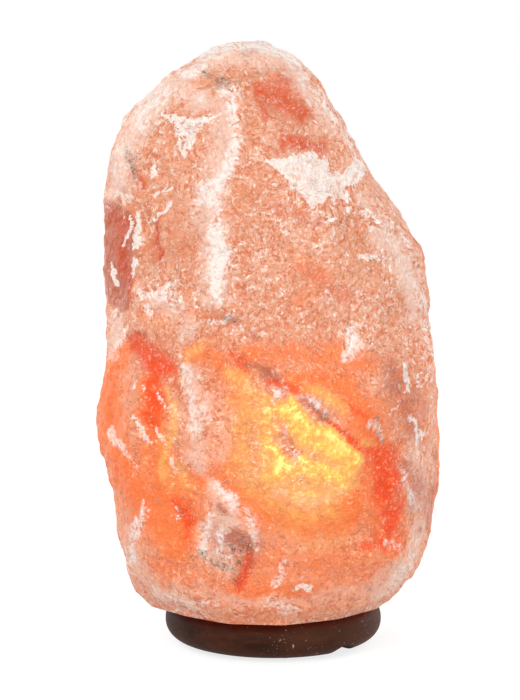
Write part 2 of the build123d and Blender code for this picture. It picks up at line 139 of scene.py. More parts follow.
def ramp(low, high, value):
    """0 below low, 1 above high, and a smooth rise between."""
    t = np.clip((value - low) / (high - low), 0, 1)
    return t * t * (3 - 2 * t)


# ================================================================== the hewn block
def block_triangles():
    """Corners of the triangles of the block's outside, without those of its bore."""
    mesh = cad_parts["salt_crystal"].data
    mesh.calc_loop_triangles()
    places = np.empty(len(mesh.vertices) * 3)
    mesh.vertices.foreach_get("co", places)
    corners = np.empty(len(mesh.loop_triangles) * 3, np.int32)
    mesh.loop_triangles.foreach_get("vertices", corners)
    triangles = places.reshape(-1, 3)[corners.reshape(-1, 3)]
    from_axis = np.hypot(triangles[..., 0], triangles[..., 1]).max(-1)
    height = triangles[..., 2].max(-1) - FOOT
    in_bore = (from_axis < BORE_RADIUS + BORE_MARGIN) & (height < BORE_DEPTH + BORE_MARGIN)
    return triangles[~in_bore]


def skin_rays(turns, side_rows, crown_rows):
    """Start and direction of a ray for each angle and row: level rays out of the core line
    up to the turn, and then a fan that rises from the level to almost straight up."""
    just_above = FOOT + 0.02 * MM
    side = np.linspace(just_above, TURN_HEIGHT, side_rows, endpoint=False)
    height = np.concatenate([side, np.full(crown_rows, TURN_HEIGHT)])
    lift = np.concatenate([np.zeros(side_rows), np.linspace(0, CROWN_RISE, crown_rows)])
    turn, lift = np.meshgrid(turns, lift)
    level = np.ones_like(turn)
    start = np.stack([CORE[0] * level, CORE[1] * level, height[:, None] * level], -1)
    way = np.stack([np.cos(lift) * np.cos(turn), np.cos(lift) * np.sin(turn), np.sin(lift)], -1)
    return start, way


def reach_of_block():
    """How far the block's outside lies along each of a coarse set of rays: a ray is cut
    with the plane of each triangle in its sector, and the furthest cut inside a triangle
    is kept. It is worked out in millimetres."""
    turns = np.linspace(0, 2 * pi, RAY_COLUMNS, endpoint=False)
    start, way = skin_rays(turns, RAY_SIDE_ROWS, RAY_CROWN_ROWS)
    triangles = block_triangles() / MM
    sides = np.arctan2(triangles[..., 1] - CORE[1] / MM, triangles[..., 0] - CORE[0] / MM)
    half_sector = RAY_SECTOR * pi / RAY_COLUMNS
    reach = np.zeros(start.shape[:2])
    for some in np.array_split(np.arange(RAY_COLUMNS), RAY_COLUMNS // RAY_SECTOR):
        off = (sides - turns[some].mean() + pi) % (2 * pi) - pi
        near = (off.min(-1) < half_sector) & (off.max(-1) > -half_sector)
        near |= np.ptp(off, -1) > pi / 2  # a large triangle over the crown
        a, b, c = np.moveaxis(triangles[near], 1, 0)
        ray, foot = way[:, some].reshape(-1, 1, 3), start[:, some].reshape(-1, 1, 3) / MM
        cross = np.cross(ray, (c - a)[None])
        det = np.sum(cross * (b - a), -1)
        det = np.where(np.abs(det) < 1e-9, 1e-9, det)
        away = foot - a
        u = np.sum(away * cross, -1) / det
        other = np.cross(away, (b - a)[None])
        v = np.sum(other * ray, -1) / det
        hit = (u > -1e-4) & (v > -1e-4) & (u + v < 1.0001)  # a hair beyond the edges too
        far = np.where(hit, np.sum(other * (c - a), -1) / det, 0).max(-1)
        reach[:, some] = far.reshape(len(start), -1) * MM
    return worn(reach)


def worn(values):
    """Each value becomes the mean of itself and its neighbours, round the turn and along
    the rows, so the edges of the solid's facets are worn round."""
    values = values / 2 + (np.roll(values, 1, 1) + np.roll(values, -1, 1)) / 4
    ends = np.concatenate([values[:1], values, values[-1:]])
    return values / 2 + (ends[:-2] + ends[2:]) / 4


def row_places(side_rows, crown_rows):
    """Where each row lies: from 0 to 1 up the side, and from 1 to 2 over the crown."""
    return np.concatenate([np.arange(side_rows) / side_rows, 1 + np.linspace(0, 1, crown_rows)])


def finer(values):
    """Carries the coarse map of the skin to the fine grid, straight between its values,
    round the full turn and along the rows."""
    closed = np.concatenate([values, values[:, :1]], 1)
    old_turn = np.linspace(0, 1, closed.shape[1])
    new_turn = np.linspace(0, 1, COLUMNS, endpoint=False)
    wide = np.stack([np.interp(new_turn, old_turn, row) for row in closed])
    old_row = row_places(RAY_SIDE_ROWS, RAY_CROWN_ROWS)
    new_row = row_places(SIDE_ROWS, CROWN_ROWS)
    return np.stack([np.interp(new_row, old_row, column) for column in wide.T], 1)


def grid_normals(places):
    """Outward direction at each place of the skin: the cross product of its slopes round
    the turn and up the rows."""
    round_turn = np.roll(places, -1, 1) - np.roll(places, 1, 1)
    up_rows = np.gradient(places, axis=0)
    normal = np.cross(round_turn, up_rows)
    return normal / np.maximum(np.linalg.norm(normal, axis=-1, keepdims=True), 1e-12)


def crystal_skin():
    """Places of the block's outside, row by row from the foot to the crown, and the
    direction in which each faces. The broad form is the solid's, and chips of four sizes
    and two layered noises, in millimetres, stand on it along the outward direction."""
    turns = np.linspace(0, 2 * pi, COLUMNS, endpoint=False)
    start, way = skin_rays(turns, SIDE_ROWS, CROWN_ROWS)
    broad = start + way * finer(reach_of_block())[..., None]
    facing = grid_normals(broad)
    p = broad.reshape(-1, 3)
    wander = np.stack([layered_noise(p, 0.03, 40 + axis, 2) for axis in range(3)], -1)
    warped = p + 5 * MM * wander
    height = 1.6 * chipped(warped, 0.034, 100, 14)
    height += 1.2 * chipped(warped, 0.0155, 200, 12)
    height += 0.85 * chipped(warped, 0.0075, 300, 10)
    height += 0.45 * chipped(p, 0.0036, 400, 8)
    height += 1.0 * layered_noise(p, 0.05, 500, 3)
    height += 0.35 * layered_noise(p, 0.006, 600, 2)
    height += relief(p, facing.reshape(-1, 3))
    height = height.reshape(broad.shape[:2])
    # The sawn foot stays flat, and its rim keeps the outline of the saw cut.
    height *= ramp(0, 5 * MM, broad[..., 2] - FOOT) * 0.85 + 0.15
    skin = broad + facing * height[..., None] * MM
    skin[..., 2] = np.maximum(skin[..., 2], FOOT)
    skin[0, :, 2] = FOOT
    return skin, facing


def bore_rows():
    """Radius and height of each ring down the bore: a flat end, a quarter circle round its
    corner, and a straight wall to its mouth."""
    top = FOOT + BORE_DEPTH
    flat, low = BORE_RADIUS - BORE_CORNER, top - BORE_CORNER
    rings = [(flat * row / BORE_END_ROWS, top) for row in range(1, BORE_END_ROWS + 1)]
    for turn in np.linspace(0, pi / 2, BORE_CORNER_ROWS + 1)[1:]:
        rings.append((flat + BORE_CORNER * sin(turn), low + BORE_CORNER * cos(turn)))
    for height in np.linspace(low, FOOT, BORE_ROWS + 1)[1:]:
        rings.append((BORE_RADIUS, height))
    return rings


def block_of_salt():
    """The whole closed skin of the block: one grid of a turn round the axis by a path that
    runs down the bore, out over the foot, up the side and over the crown, with a single
    point at each end of the path. Returns places, outward ways, four-cornered and
    three-cornered faces, and which places lie on the bore or the foot."""
    turns = np.linspace(0, 2 * pi, COLUMNS, endpoint=False)
    ring = np.stack([np.cos(turns), np.sin(turns)], -1)
    rows = [np.column_stack([ring * radius, np.full(COLUMNS, z)]) for radius, z in bore_rows()]
    skin, facing = crystal_skin()
    mouth = rows[-1]
    rows += [mouth + (skin[0] - mouth) * share for share in np.linspace(0, 1, FOOT_ROWS + 1)[1:-1]]
    inside_rows = len(rows)
    rows = np.concatenate([np.array(rows), skin])
    down = np.array((0.0, 0.0, -1.0))
    faces_way = np.concatenate([np.broadcast_to(down, (inside_rows, COLUMNS, 3)), facing])
    bore_end = (0, 0, FOOT + BORE_DEPTH)
    places = np.concatenate([[bore_end], rows.reshape(-1, 3), [skin[-1].mean(0)]])
    ways = np.concatenate([[down], faces_way.reshape(-1, 3), [(0, 0, 1)]])
    index = 1 + np.arange(len(rows) * COLUMNS).reshape(len(rows), COLUMNS)
    after = np.roll(index, -1, 1)
    quads = np.stack([index[:-1], after[:-1], after[1:], index[1:]], -1).reshape(-1, 4)
    first = np.stack([np.zeros(COLUMNS, int), after[0], index[0]], -1)
    last = np.stack([np.full(COLUMNS, len(places) - 1), index[-1], after[-1]], -1)
    inside = np.arange(len(places)) <= inside_rows * COLUMNS
    return places, ways, quads, np.concatenate([first, last]), inside


# ================================================================== what lies in the salt
# What a place of the skin can hold: white bruises, hard white flakes, milky salt, red veins,
# dull red-brown faces, grey rock, the bulb's glow, the flush round it, and salt with few flecks.
# The glow and the flush are the bulb's light painted onto the salt, and the milky salt along the
# rims also paints a pale rim of light.
KINDS = ("frost", "flake", "haze", "ember", "dusk", "soot", "amber", "flush", "calm")
Seam = namedtuple("Seam", "kind strength soft spots")


def seams_of(kind):
    """A writer of seams of one kind. A seam is a line of round spots on an elevation of the
    block, 520 units wide and 700 high, of about half a millimetre each: units across, units
    down, and half the width there. Strength is its weight, or, below 0, the share by which
    it cuts the seams before it. Soft is the share of the width over which it fades."""

    def seam(strength, *spots, soft=0.9):
        return Seam(kind, strength, soft, spots)

    return seam


frosted, flaked, hazed_and_rim_lit, reddened, dulled, sooted, lit, bulb_flushed, calmed = map(seams_of, KINDS)

FRONT_SEAMS = (
    # the whole lower half is flushed by the bulb: its light, painted on the salt
    bulb_flushed(1.0, (118, 352, 14), (112, 372, 16), (106, 400, 20), (112, 430, 22), (122, 460, 24),
            (138, 495, 26), (165, 530, 28)),
    bulb_flushed(1.0, (192, 480, 16), (255, 505, 28), (300, 520, 26), (345, 515, 28), (378, 480, 26),
            (372, 440, 24)),
    bulb_flushed(0.85, (370, 440, 26), (360, 405, 26), (342, 386, 24), (318, 380, 20), (290, 378, 14)),
    bulb_flushed(0.7, (190, 356, 12), (215, 356, 12), (240, 385, 24), (238, 430, 28), (230, 470, 22)),
    bulb_flushed(0.65, (250, 356, 18), (295, 354, 18), (335, 354, 18), (366, 366, 18)),
    bulb_flushed(0.45, (190, 390, 18), (192, 430, 20), (194, 464, 20)),
    bulb_flushed(0.9, (378, 500, 26), (386, 530, 26), (392, 548, 20)),
    bulb_flushed(0.5, (250, 560, 24), (300, 560, 34), (345, 560, 32), (378, 555, 26)),
    lit(0.2, (280, 528, 20), (310, 542, 24), (344, 540, 20)),
    bulb_flushed(1.0, (150, 385, 16), (152, 420, 18), (158, 455, 20), (172, 490, 24), (180, 520, 28),
            (176, 552, 24)),
    bulb_flushed(0.5, (184, 440, 14), (192, 465, 14), (202, 485, 10)),
    bulb_flushed(0.3, (296, 262, 16), (312, 274, 20), (330, 282, 14), (300, 300, 20)),
    bulb_flushed(0.6, (152, 572, 22), (200, 586, 22), (250, 590, 26), (310, 592, 26), (360, 582, 24),
            (384, 568, 18)),
    # places where the salt is smooth, without its flecks
    calmed(0.8, (190, 92, 12), (212, 104, 8)),
    calmed(0.7, (185, 168, 12), (175, 210, 18), (182, 250, 18)),
    calmed(0.9, (104, 390, 10), (112, 430, 18), (122, 480, 18), (134, 530, 14)),
    calmed(0.7, (160, 460, 16), (165, 530, 26), (150, 560, 22)),
    calmed(0.6, (290, 530, 26), (345, 520, 26), (320, 570, 24), (250, 590, 20)),
    calmed(0.8, (410, 285, 10), (416, 310, 9)),
    calmed(0.5, (340, 400, 16), (352, 420, 14)),
    # the white vein down the displayed face
    frosted(0.7, (222, 92, 10), (236, 94, 8)),
    frosted(0.85, (232, 100, 7), (237, 118, 8), (235, 135, 8), (232, 152, 8), (229, 166, 8), (222, 182, 9),
            (214, 194, 10)),
    frosted(0.9, (213, 190, 11), (209, 199, 11), (219, 206, 8), (220, 222, 7), (217, 240, 10),
            (219, 258, 12), (217, 276, 11), (219, 296, 8)),
    hazed_and_rim_lit(1.0, (228, 112, 19), (226, 140, 20), (220, 170, 20), (212, 200, 20), (214, 240, 18),
          (216, 290, 20)),
    # a ragged white flake, with a window in it, and a three-cornered one
    flaked(1.0, (268, 161, 2), (280, 165, 5), (293, 169, 11), (308, 174, 19), (322, 177, 17),
           (336, 182, 11), (348, 178, 8), (357, 170, 7), (358, 162, 4), soft=0.25),
    flaked(1.0, (308, 180, 14), (314, 196, 10), (312, 207, 4), soft=0.25),
    flaked(0.62, (332, 194, 6), (346, 194, 5), soft=0.4),
    flaked(-1.0, (338, 164, 9), soft=0.2),
    flaked(0.62, (163, 113, 3), (174, 117, 7), (186, 124, 12), (187, 136, 10), (186, 148, 7), (185, 158, 2),
           soft=0.25),
    flaked(0.62, (190, 121, 7), (202, 118, 6), (214, 114, 3), soft=0.25),
    # crest and shoulders, bruised white, with haze that paints a pale rim of light along them
    frosted(0.65, (162, 90, 10), (148, 104, 14), (138, 122, 14)),
    frosted(0.45, (124, 150, 12), (118, 166, 12), (120, 180, 12)),
    frosted(0.6, (120, 194, 9), (128, 199, 8)),
    hazed_and_rim_lit(1.0, (170, 84, 16), (146, 108, 20), (128, 146, 20), (119, 190, 16)),
    frosted(0.58, (180, 74, 8), (196, 70, 8), (206, 66, 6)),
    frosted(1.0, (206, 52, 9), (236, 43, 12), (262, 44, 11), (284, 50, 9), (300, 66, 6)),
    hazed_and_rim_lit(1.0, (182, 76, 14), (212, 58, 16), (245, 52, 16), (280, 58, 14), (304, 76, 12)),
    frosted(0.6, (306, 78, 7), (320, 96, 7), (333, 116, 7), (345, 136, 7), (352, 150, 5)),
    hazed_and_rim_lit(0.8, (300, 84, 10), (318, 108, 12), (332, 132, 10), (345, 144, 8)),
    # grey rock in the crest, and a crack under it
    sooted(0.95, (206, 72, 5), (214, 77, 8), (222, 82, 7), (229, 86, 4)),
    sooted(0.7, (240, 54, 4), (247, 53, 5), (254, 54, 3)),
    sooted(0.75, (229, 87, 2), (243, 82, 3), (254, 76, 3), (279, 71, 2), (301, 69, 2), soft=0.8),
    sooted(0.8, (128, 148, 4), (134, 160, 5), (138, 172, 4), soft=0.8),
    dulled(0.42, (114, 156, 10), (116, 178, 14), (124, 188, 10)),
    hazed_and_rim_lit(0.9, (176, 96, 10), (188, 92, 12), (204, 96, 10)),
    frosted(0.28, (178, 92, 12), (200, 94, 12)),
    hazed_and_rim_lit(0.7, (242, 62, 12), (262, 64, 12), (284, 68, 9)),
    hazed_and_rim_lit(0.9, (180, 90, 12), (196, 98, 14), (212, 104, 8)),
    # red veins of the upper half
    reddened(0.85, (256, 88, 9), (268, 96, 16), (282, 102, 20), (298, 112, 12)),
    reddened(0.7, (260, 104, 7), (266, 118, 6)),
    reddened(0.6, (282, 79, 10), (296, 86, 8)),
    reddened(0.95, (288, 140, 9), (302, 143, 11), (318, 147, 10)),
    reddened(0.8, (133, 158, 3), (138, 172, 4), (142, 183, 4), soft=0.8),
    reddened(0.35, (262, 196, 10), (290, 215, 14), (318, 225, 12)),
    reddened(0.4, (300, 270, 12), (330, 285, 12), (352, 300, 10)),
    reddened(0.4, (155, 235, 8), (152, 255, 9), (158, 268, 6)),
    flaked(0.75, (151, 178, 3), (156, 170, 5), (157, 165, 3), soft=0.8),
    flaked(0.65, (153, 191, 3), (162, 190, 4), (171, 190, 3), soft=0.8),
    flaked(0.65, (147, 221, 4), (158, 214, 5), (170, 207, 4), soft=0.8),
    flaked(0.7, (326, 218, 4), (336, 219, 4), soft=0.8),
    flaked(0.6, (364, 208, 5), (371, 216, 6), (377, 222, 3), soft=0.8),
    flaked(0.62, (364, 254, 5), (374, 256, 6), (384, 261, 4), soft=0.8),
    flaked(0.6, (327, 292, 4), (333, 300, 4), soft=0.8),
    # the dull red cleaved face at the left, with white slivers along its edge
    calmed(0.9, (112, 220, 12), (116, 250, 16), (116, 290, 14)),
    dulled(1.0, (106, 208, 9), (116, 222, 15), (118, 240, 18), (118, 262, 18), (117, 284, 16),
           (118, 298, 12), (122, 310, 5), soft=0.35),
    reddened(0.75, (112, 214, 7), (122, 224, 9), (126, 236, 6)),
    reddened(0.9, (120, 244, 8), (124, 262, 9), (130, 280, 6), (130, 296, 4)),
    hazed_and_rim_lit(0.4, (104, 294, 6), (110, 308, 7)),
    flaked(0.9, (135, 212, 2), (136, 226, 4), (137, 238, 4), (135, 248, 2), soft=0.5),
    flaked(0.8, (126, 218, 2), (127, 230, 3), (125, 243, 2), soft=0.5),
    flaked(0.85, (135, 259, 2), (135, 267, 3), (134, 275, 2), soft=0.5),
    flaked(0.7, (110, 264, 2), (113, 274, 4), (117, 285, 2), soft=0.5),
    reddened(0.9, (157, 216, 3), (159, 232, 3), (159, 246, 3), (160, 262, 5), soft=0.6),
    dulled(0.7, (158, 226, 2), (159, 240, 2), (160, 264, 4), soft=0.6),
    # the ledge under it
    frosted(0.7, (140, 293, 4), (152, 292, 6), (164, 291, 9), (178, 293, 6)),
    bulb_flushed(0.35, (146, 314, 14), (170, 322, 18), (186, 312, 14)),
    frosted(0.45, (162, 282, 4), (172, 283, 6)),
    reddened(0.4, (150, 262, 8), (160, 272, 8)),
    frosted(0.85, (144, 306, 5), (148, 313, 4), soft=0.7),
    hazed_and_rim_lit(0.7, (150, 300, 12), (176, 310, 16), (190, 332, 16)),
    # haze down the left rim: a painted pale rim of light
    hazed_and_rim_lit(0.95, (118, 318, 10), (115, 336, 9), (112, 354, 7), soft=0.8),
    frosted(0.6, (126, 325, 3), (122, 338, 4), (117, 348, 3), soft=0.8),
    # the red window under the ledge, and the flushed streaks below
    dulled(0.7, (129, 332, 4), (138, 334, 5), (146, 332, 4)),
    reddened(1.0, (138, 342, 12), (148, 352, 18), (158, 364, 19), (166, 372, 14)),
    reddened(0.8, (157, 380, 14), (152, 398, 12), (148, 416, 9), (152, 428, 7)),
    lit(0.4, (166, 388, 6), (172, 404, 9), (172, 424, 9), (164, 444, 9), (162, 460, 8), (168, 476, 6)),
    lit(0.34, (178, 462, 6), (182, 476, 7), (188, 488, 7)),
    lit(0.22, (160, 430, 14), (164, 460, 16), (176, 486, 14)),
    flaked(0.55, (132, 374, 2), (134, 388, 3)),
    flaked(0.55, (143, 381, 2), (144, 388, 3)),
    flaked(0.62, (156, 394, 2), (160, 406, 3)),
    flaked(0.66, (133, 413, 2), (137, 424, 3), (144, 434, 4), (148, 438, 2)),
    flaked(0.6, (152, 425, 3), (158, 434, 4), (162, 441, 2)),
    frosted(0.62, (109, 425, 2), (114, 435, 4), (122, 446, 5), (132, 460, 3), soft=0.5),
    frosted(0.45, (134, 462, 3), (137, 478, 4), soft=0.6),
    frosted(0.55, (171, 458, 3), (176, 472, 3), soft=0.6),
    # the milky column beside the glow
    hazed_and_rim_lit(0.75, (186, 368, 10), (194, 388, 17), (198, 410, 20), (196, 432, 18), (196, 452, 15),
          (200, 472, 12)),
    frosted(0.55, (180, 352, 3), (184, 364, 4), (190, 392, 9), (197, 412, 13), (196, 432, 9)),
    hazed_and_rim_lit(0.45, (222, 400, 12), (226, 430, 14), (222, 455, 12)),
    # grey and mauve grains over the glow
    dulled(0.7, (214, 312, 7), (224, 318, 10), (236, 322, 7)),
    sooted(0.75, (222, 314, 6), (230, 320, 7)),
    frosted(0.8, (213, 322, 4), (226, 323, 4), (232, 314, 3), soft=0.8),
    reddened(0.75, (233, 353, 6), (242, 362, 8), (248, 372, 6)),
    dulled(0.6, (250, 331, 5), (257, 338, 5)),
    dulled(0.75, (252, 366, 8), (264, 372, 9), (274, 376, 7)),
    reddened(0.8, (268, 380, 5), (284, 384, 6), (302, 388, 5)),
    frosted(0.6, (276, 392, 4), (284, 388, 3)),
    dulled(0.85, (306, 398, 7), (313, 403, 9), (320, 412, 7), (326, 420, 4)),
    frosted(0.7, (306, 395, 6), (316, 400, 6), (322, 410, 4)),
    sooted(0.7, (317, 412, 4), (321, 416, 4)),
    reddened(0.9, (326, 423, 3), (342, 432, 4), (354, 442, 4), (361, 448, 3), soft=0.6),
    frosted(0.8, (350, 334, 7), (353, 344, 10), (350, 352, 9), (343, 357, 5)),
    frosted(0.6, (362, 359, 3)),
    reddened(0.5, (340, 400, 9), (352, 412, 9), (364, 420, 8)),
    # where the bulb shines through, cut off sharply along its upper right
    lit(0.31, (246, 376, 18), (246, 412, 30), (240, 450, 28), (256, 490, 24), (296, 514, 24),
        (334, 512, 22)),
    lit(0.48, (262, 402, 16), (268, 440, 20), (272, 478, 20), (300, 494, 20), (330, 496, 18),
        (350, 484, 15)),
    lit(0.7, (278, 408, 11), (296, 424, 16), (314, 440, 20), (334, 454, 20), (352, 464, 15), soft=0.7),
    lit(0.64, (276, 462, 11), (294, 470, 14), (314, 474, 14), (336, 476, 13), (352, 474, 10), soft=0.8),
    lit(1.0, (292, 396, 5), (291, 404, 6)),
    lit(0.95, (270, 413, 6), (282, 408, 7), (292, 414, 7), (306, 424, 7)),
    lit(0.95, (316, 430, 9), (332, 440, 10), (346, 450, 9), (357, 462, 7)),
    lit(0.92, (270, 450, 4), (279, 456, 6), (284, 464, 7), (278, 472, 6)),
    lit(0.8, (300, 462, 6), (318, 468, 6), (338, 474, 5)),
    lit(-0.3, (276, 434, 6), (290, 444, 5)),
    lit(-1.0, (278, 380, 12), (304, 390, 11), (334, 413, 11), (368, 441, 11), (379, 458, 8), (381, 480, 8),
        soft=0.25),
    lit(0.9, (291, 394, 4), (290, 402, 7), (302, 412, 7)),
    lit(0.44, (316, 386, 8), (330, 399, 12), (342, 410, 11)),
    lit(0.36, (366, 441, 6), (376, 446, 7)),
    lit(0.34, (188, 358, 9), (200, 350, 8)),
    lit(0.36, (230, 372, 8), (246, 386, 10), (256, 398, 10)),
    hazed_and_rim_lit(0.25, (280, 432, 6), (288, 444, 6)),
    hazed_and_rim_lit(0.35, (280, 492, 12), (310, 502, 12), (340, 496, 10)),
    # the clouded right flank, its haze along the rim a painted pale rim of light
    hazed_and_rim_lit(1.0, (380, 232, 16), (398, 252, 18), (408, 276, 16), (412, 300, 13), (410, 318, 8)),
    hazed_and_rim_lit(0.7, (362, 196, 10), (374, 214, 12), (392, 228, 10)),
    frosted(0.5, (398, 224, 4), (412, 250, 4), (424, 290, 4), (429, 340, 4), (433, 380, 4), soft=0.8),
    frosted(0.28, (384, 222, 12), (402, 250, 16), (414, 290, 14), (424, 330, 12), (428, 370, 10)),
    dulled(0.55, (388, 366, 16), (400, 390, 22), (410, 415, 22), (414, 432, 16)),
    dulled(0.6, (408, 462, 12), (416, 484, 14), (418, 505, 10)),
    hazed_and_rim_lit(0.6, (418, 440, 12), (416, 462, 14), (420, 486, 14), (418, 506, 10)),
    flaked(0.75, (405, 364, 2), (407, 378, 3), (405, 392, 3), soft=0.8),
    flaked(0.6, (413, 372, 2), (415, 388, 2), soft=0.8),
    flaked(0.65, (400, 404, 2), (394, 412, 3), (388, 420, 2), soft=0.8),
    flaked(0.75, (413, 415, 3), (416, 427, 4), (421, 440, 4), soft=0.8),
    flaked(0.65, (425, 372, 3), (428, 380, 3), soft=0.8),
    flaked(0.6, (419, 430, 4), (427, 434, 4), soft=0.8),
    frosted(0.85, (372, 424, 5), (380, 428, 5), (384, 434, 4)),
    sooted(0.7, (376, 420, 4), (384, 440, 4)),
    reddened(1.0, (366, 450, 7), (384, 452, 15), (390, 474, 18), (390, 496, 18), (392, 518, 16),
             (388, 538, 12)),
    reddened(0.75, (366, 546, 6), (384, 548, 8), (402, 546, 7)),
    # dull strip down the right rim: partly dull salt, partly painted shade where the flank turns away
    dulled(0.8, (436, 452, 5), (435, 480, 6), (431, 508, 6), (427, 532, 6)),
    frosted(0.6, (404, 464, 3), (408, 480, 4), (414, 496, 5), (420, 508, 4)),
    frosted(0.6, (390, 545, 5), (400, 548, 5)),
    # the inclusion low on the displayed face
    hazed_and_rim_lit(0.9, (212, 488, 12), (222, 506, 18), (230, 526, 20), (232, 548, 14)),
    hazed_and_rim_lit(0.3, (248, 516, 12), (258, 540, 12), (258, 556, 10)),
    dulled(0.3, (262, 534, 10), (264, 550, 10)),
    hazed_and_rim_lit(0.7, (207, 524, 8), (205, 544, 9), (212, 560, 11), (228, 570, 9)),
    frosted(0.85, (214, 485, 6), (222, 490, 9), (232, 499, 9), (236, 510, 7)),
    frosted(0.35, (246, 508, 6), (252, 522, 7), (258, 536, 6), (260, 550, 4)),
    frosted(0.45, (209, 516, 7), (206, 536, 7), (202, 554, 7)),
    frosted(0.5, (222, 530, 8), (224, 546, 8), (218, 554, 6), (232, 562, 6), (234, 574, 4)),
    dulled(0.35, (216, 528, 14), (222, 552, 16)),
    dulled(0.7, (219, 508, 5), (226, 512, 7)),
    dulled(0.8, (228, 538, 12), (242, 546, 15), (256, 548, 11), (246, 566, 10)),
    sooted(0.9, (204, 557, 6), (213, 563, 7), (223, 567, 6)),
    sooted(0.9, (229, 548, 6), (240, 553, 7), (236, 566, 7), (233, 579, 6)),
    sooted(0.8, (247, 543, 5), (253, 551, 5)),
    reddened(0.85, (250, 556, 6), (246, 572, 8), (238, 584, 7)),
    dulled(0.7, (244, 572, 6), (236, 582, 6)),
    reddened(0.9, (176, 500, 8), (184, 514, 11), (190, 524, 8)),
    reddened(0.5, (188, 530, 10), (186, 548, 10)),
    sooted(0.6, (175, 500, 3), (180, 510, 4)),
    flaked(0.6, (171, 498, 2), (175, 508, 3), soft=0.8),
    flaked(0.6, (170, 513, 3), (177, 517, 3), soft=0.8),
    # the pale foot, its haze along the lower rim a painted pale rim of light
    frosted(0.75, (144, 502, 4), (140, 514, 6), (135, 528, 8), (130, 544, 8), (130, 560, 6)),
    hazed_and_rim_lit(0.8, (128, 532, 9), (131, 552, 12), (140, 574, 13), (160, 594, 12), (192, 604, 11)),
    hazed_and_rim_lit(0.5, (175, 588, 14), (205, 590, 14), (250, 606, 8), (300, 602, 9), (334, 592, 14), (366, 588, 14),
          (388, 574, 12)),
    dulled(0.3, (214, 578, 10), (226, 590, 12)),
    hazed_and_rim_lit(0.9, (378, 594, 11), (400, 574, 13), (415, 548, 10), (424, 520, 7)),
    frosted(0.4, (392, 588, 7), (408, 566, 7), (420, 540, 5)),
    frosted(0.4, (156, 594, 7), (186, 602, 7), (215, 602, 6)),
    frosted(0.5, (270, 604, 6), (284, 610, 6), (300, 610, 5)),
    frosted(0.45, (286, 560, 5), (282, 574, 6), (276, 588, 5)),
    flaked(0.65, (296, 587, 3), (308, 584, 4), soft=0.8),
    sooted(0.6, (366, 584, 4), (373, 587, 3)),
    sooted(0.5, (146, 552, 3), (150, 558, 3)),
)
# Other sides: haze at crest and foot paints a pale rim of light, lit and flushed seams the bulb's light.
RIGHT_SEAMS = (
    bulb_flushed(1.0, (150, 420, 40), (200, 470, 60), (290, 490, 66), (360, 460, 50), (400, 420, 30)),
    bulb_flushed(0.6, (220, 360, 30), (280, 370, 34), (330, 380, 26)),
    lit(0.32, (276, 380, 24), (302, 430, 40), (326, 480, 36)),
    lit(0.5, (284, 410, 18), (310, 440, 24), (334, 476, 22)),
    lit(0.74, (294, 420, 9), (312, 440, 15), (324, 462, 12)),
    lit(-1.0, (262, 384, 12), (272, 420, 10), (290, 458, 10), (302, 490, 9), soft=0.3),
    lit(0.34, (368, 400, 8), (374, 430, 10), (368, 456, 7)),
    hazed_and_rim_lit(1.0, (210, 70, 26), (262, 56, 26), (310, 74, 24), (340, 120, 20)),
    frosted(0.8, (240, 52, 10), (270, 48, 12), (298, 62, 9)),
    hazed_and_rim_lit(1.0, (302, 100, 22), (292, 150, 26), (310, 200, 22), (302, 250, 24), (318, 300, 18)),
    frosted(0.8, (302, 104, 7), (296, 130, 10), (290, 156, 12), (304, 184, 9), (310, 210, 8),
            (300, 240, 12), (312, 276, 9), (318, 300, 6)),
    hazed_and_rim_lit(0.9, (180, 300, 20), (206, 336, 24), (220, 370, 18)),
    frosted(0.6, (186, 314, 8), (208, 340, 10), (216, 366, 7)),
    hazed_and_rim_lit(0.9, (170, 170, 24), (186, 210, 20), (170, 250, 18)),
    flaked(0.62, (236, 176, 3), (246, 186, 8), (242, 200, 10), (230, 212, 5), soft=0.3),
    reddened(1.0, (230, 96, 9), (244, 108, 16), (250, 126, 10)),
    reddened(0.9, (226, 236, 10), (240, 256, 14), (238, 280, 9)),
    reddened(0.9, (330, 400, 8), (338, 430, 14), (330, 470, 15), (318, 500, 8)),
    reddened(0.8, (170, 400, 10), (176, 440, 14), (190, 476, 10)),
    dulled(0.8, (372, 250, 12), (384, 290, 18), (380, 330, 15), soft=0.7),
    dulled(0.6, (200, 460, 14), (208, 500, 18), (216, 530, 12)),
    sooted(0.8, (290, 540, 8), (304, 552, 9), (298, 566, 6)),
    dulled(0.6, (286, 536, 12), (302, 552, 14)),
    sooted(0.7, (196, 130, 5), (206, 140, 6), (212, 152, 4)),
    flaked(0.62, (340, 330, 3), (346, 346, 5), (342, 360, 3), soft=0.6),
    flaked(0.62, (352, 196, 3), (360, 208, 5), (358, 220, 3), soft=0.6),
    calmed(0.8, (250, 300, 24), (262, 330, 20), (350, 250, 20), (200, 270, 16)),
    calmed(0.7, (300, 520, 26), (240, 530, 26), (350, 500, 24)),
    hazed_and_rim_lit(1.0, (160, 566, 14), (190, 590, 18), (250, 602, 16), (330, 594, 18), (376, 570, 14)),
    frosted(0.6, (200, 598, 8), (236, 604, 8), (340, 590, 9)),
)
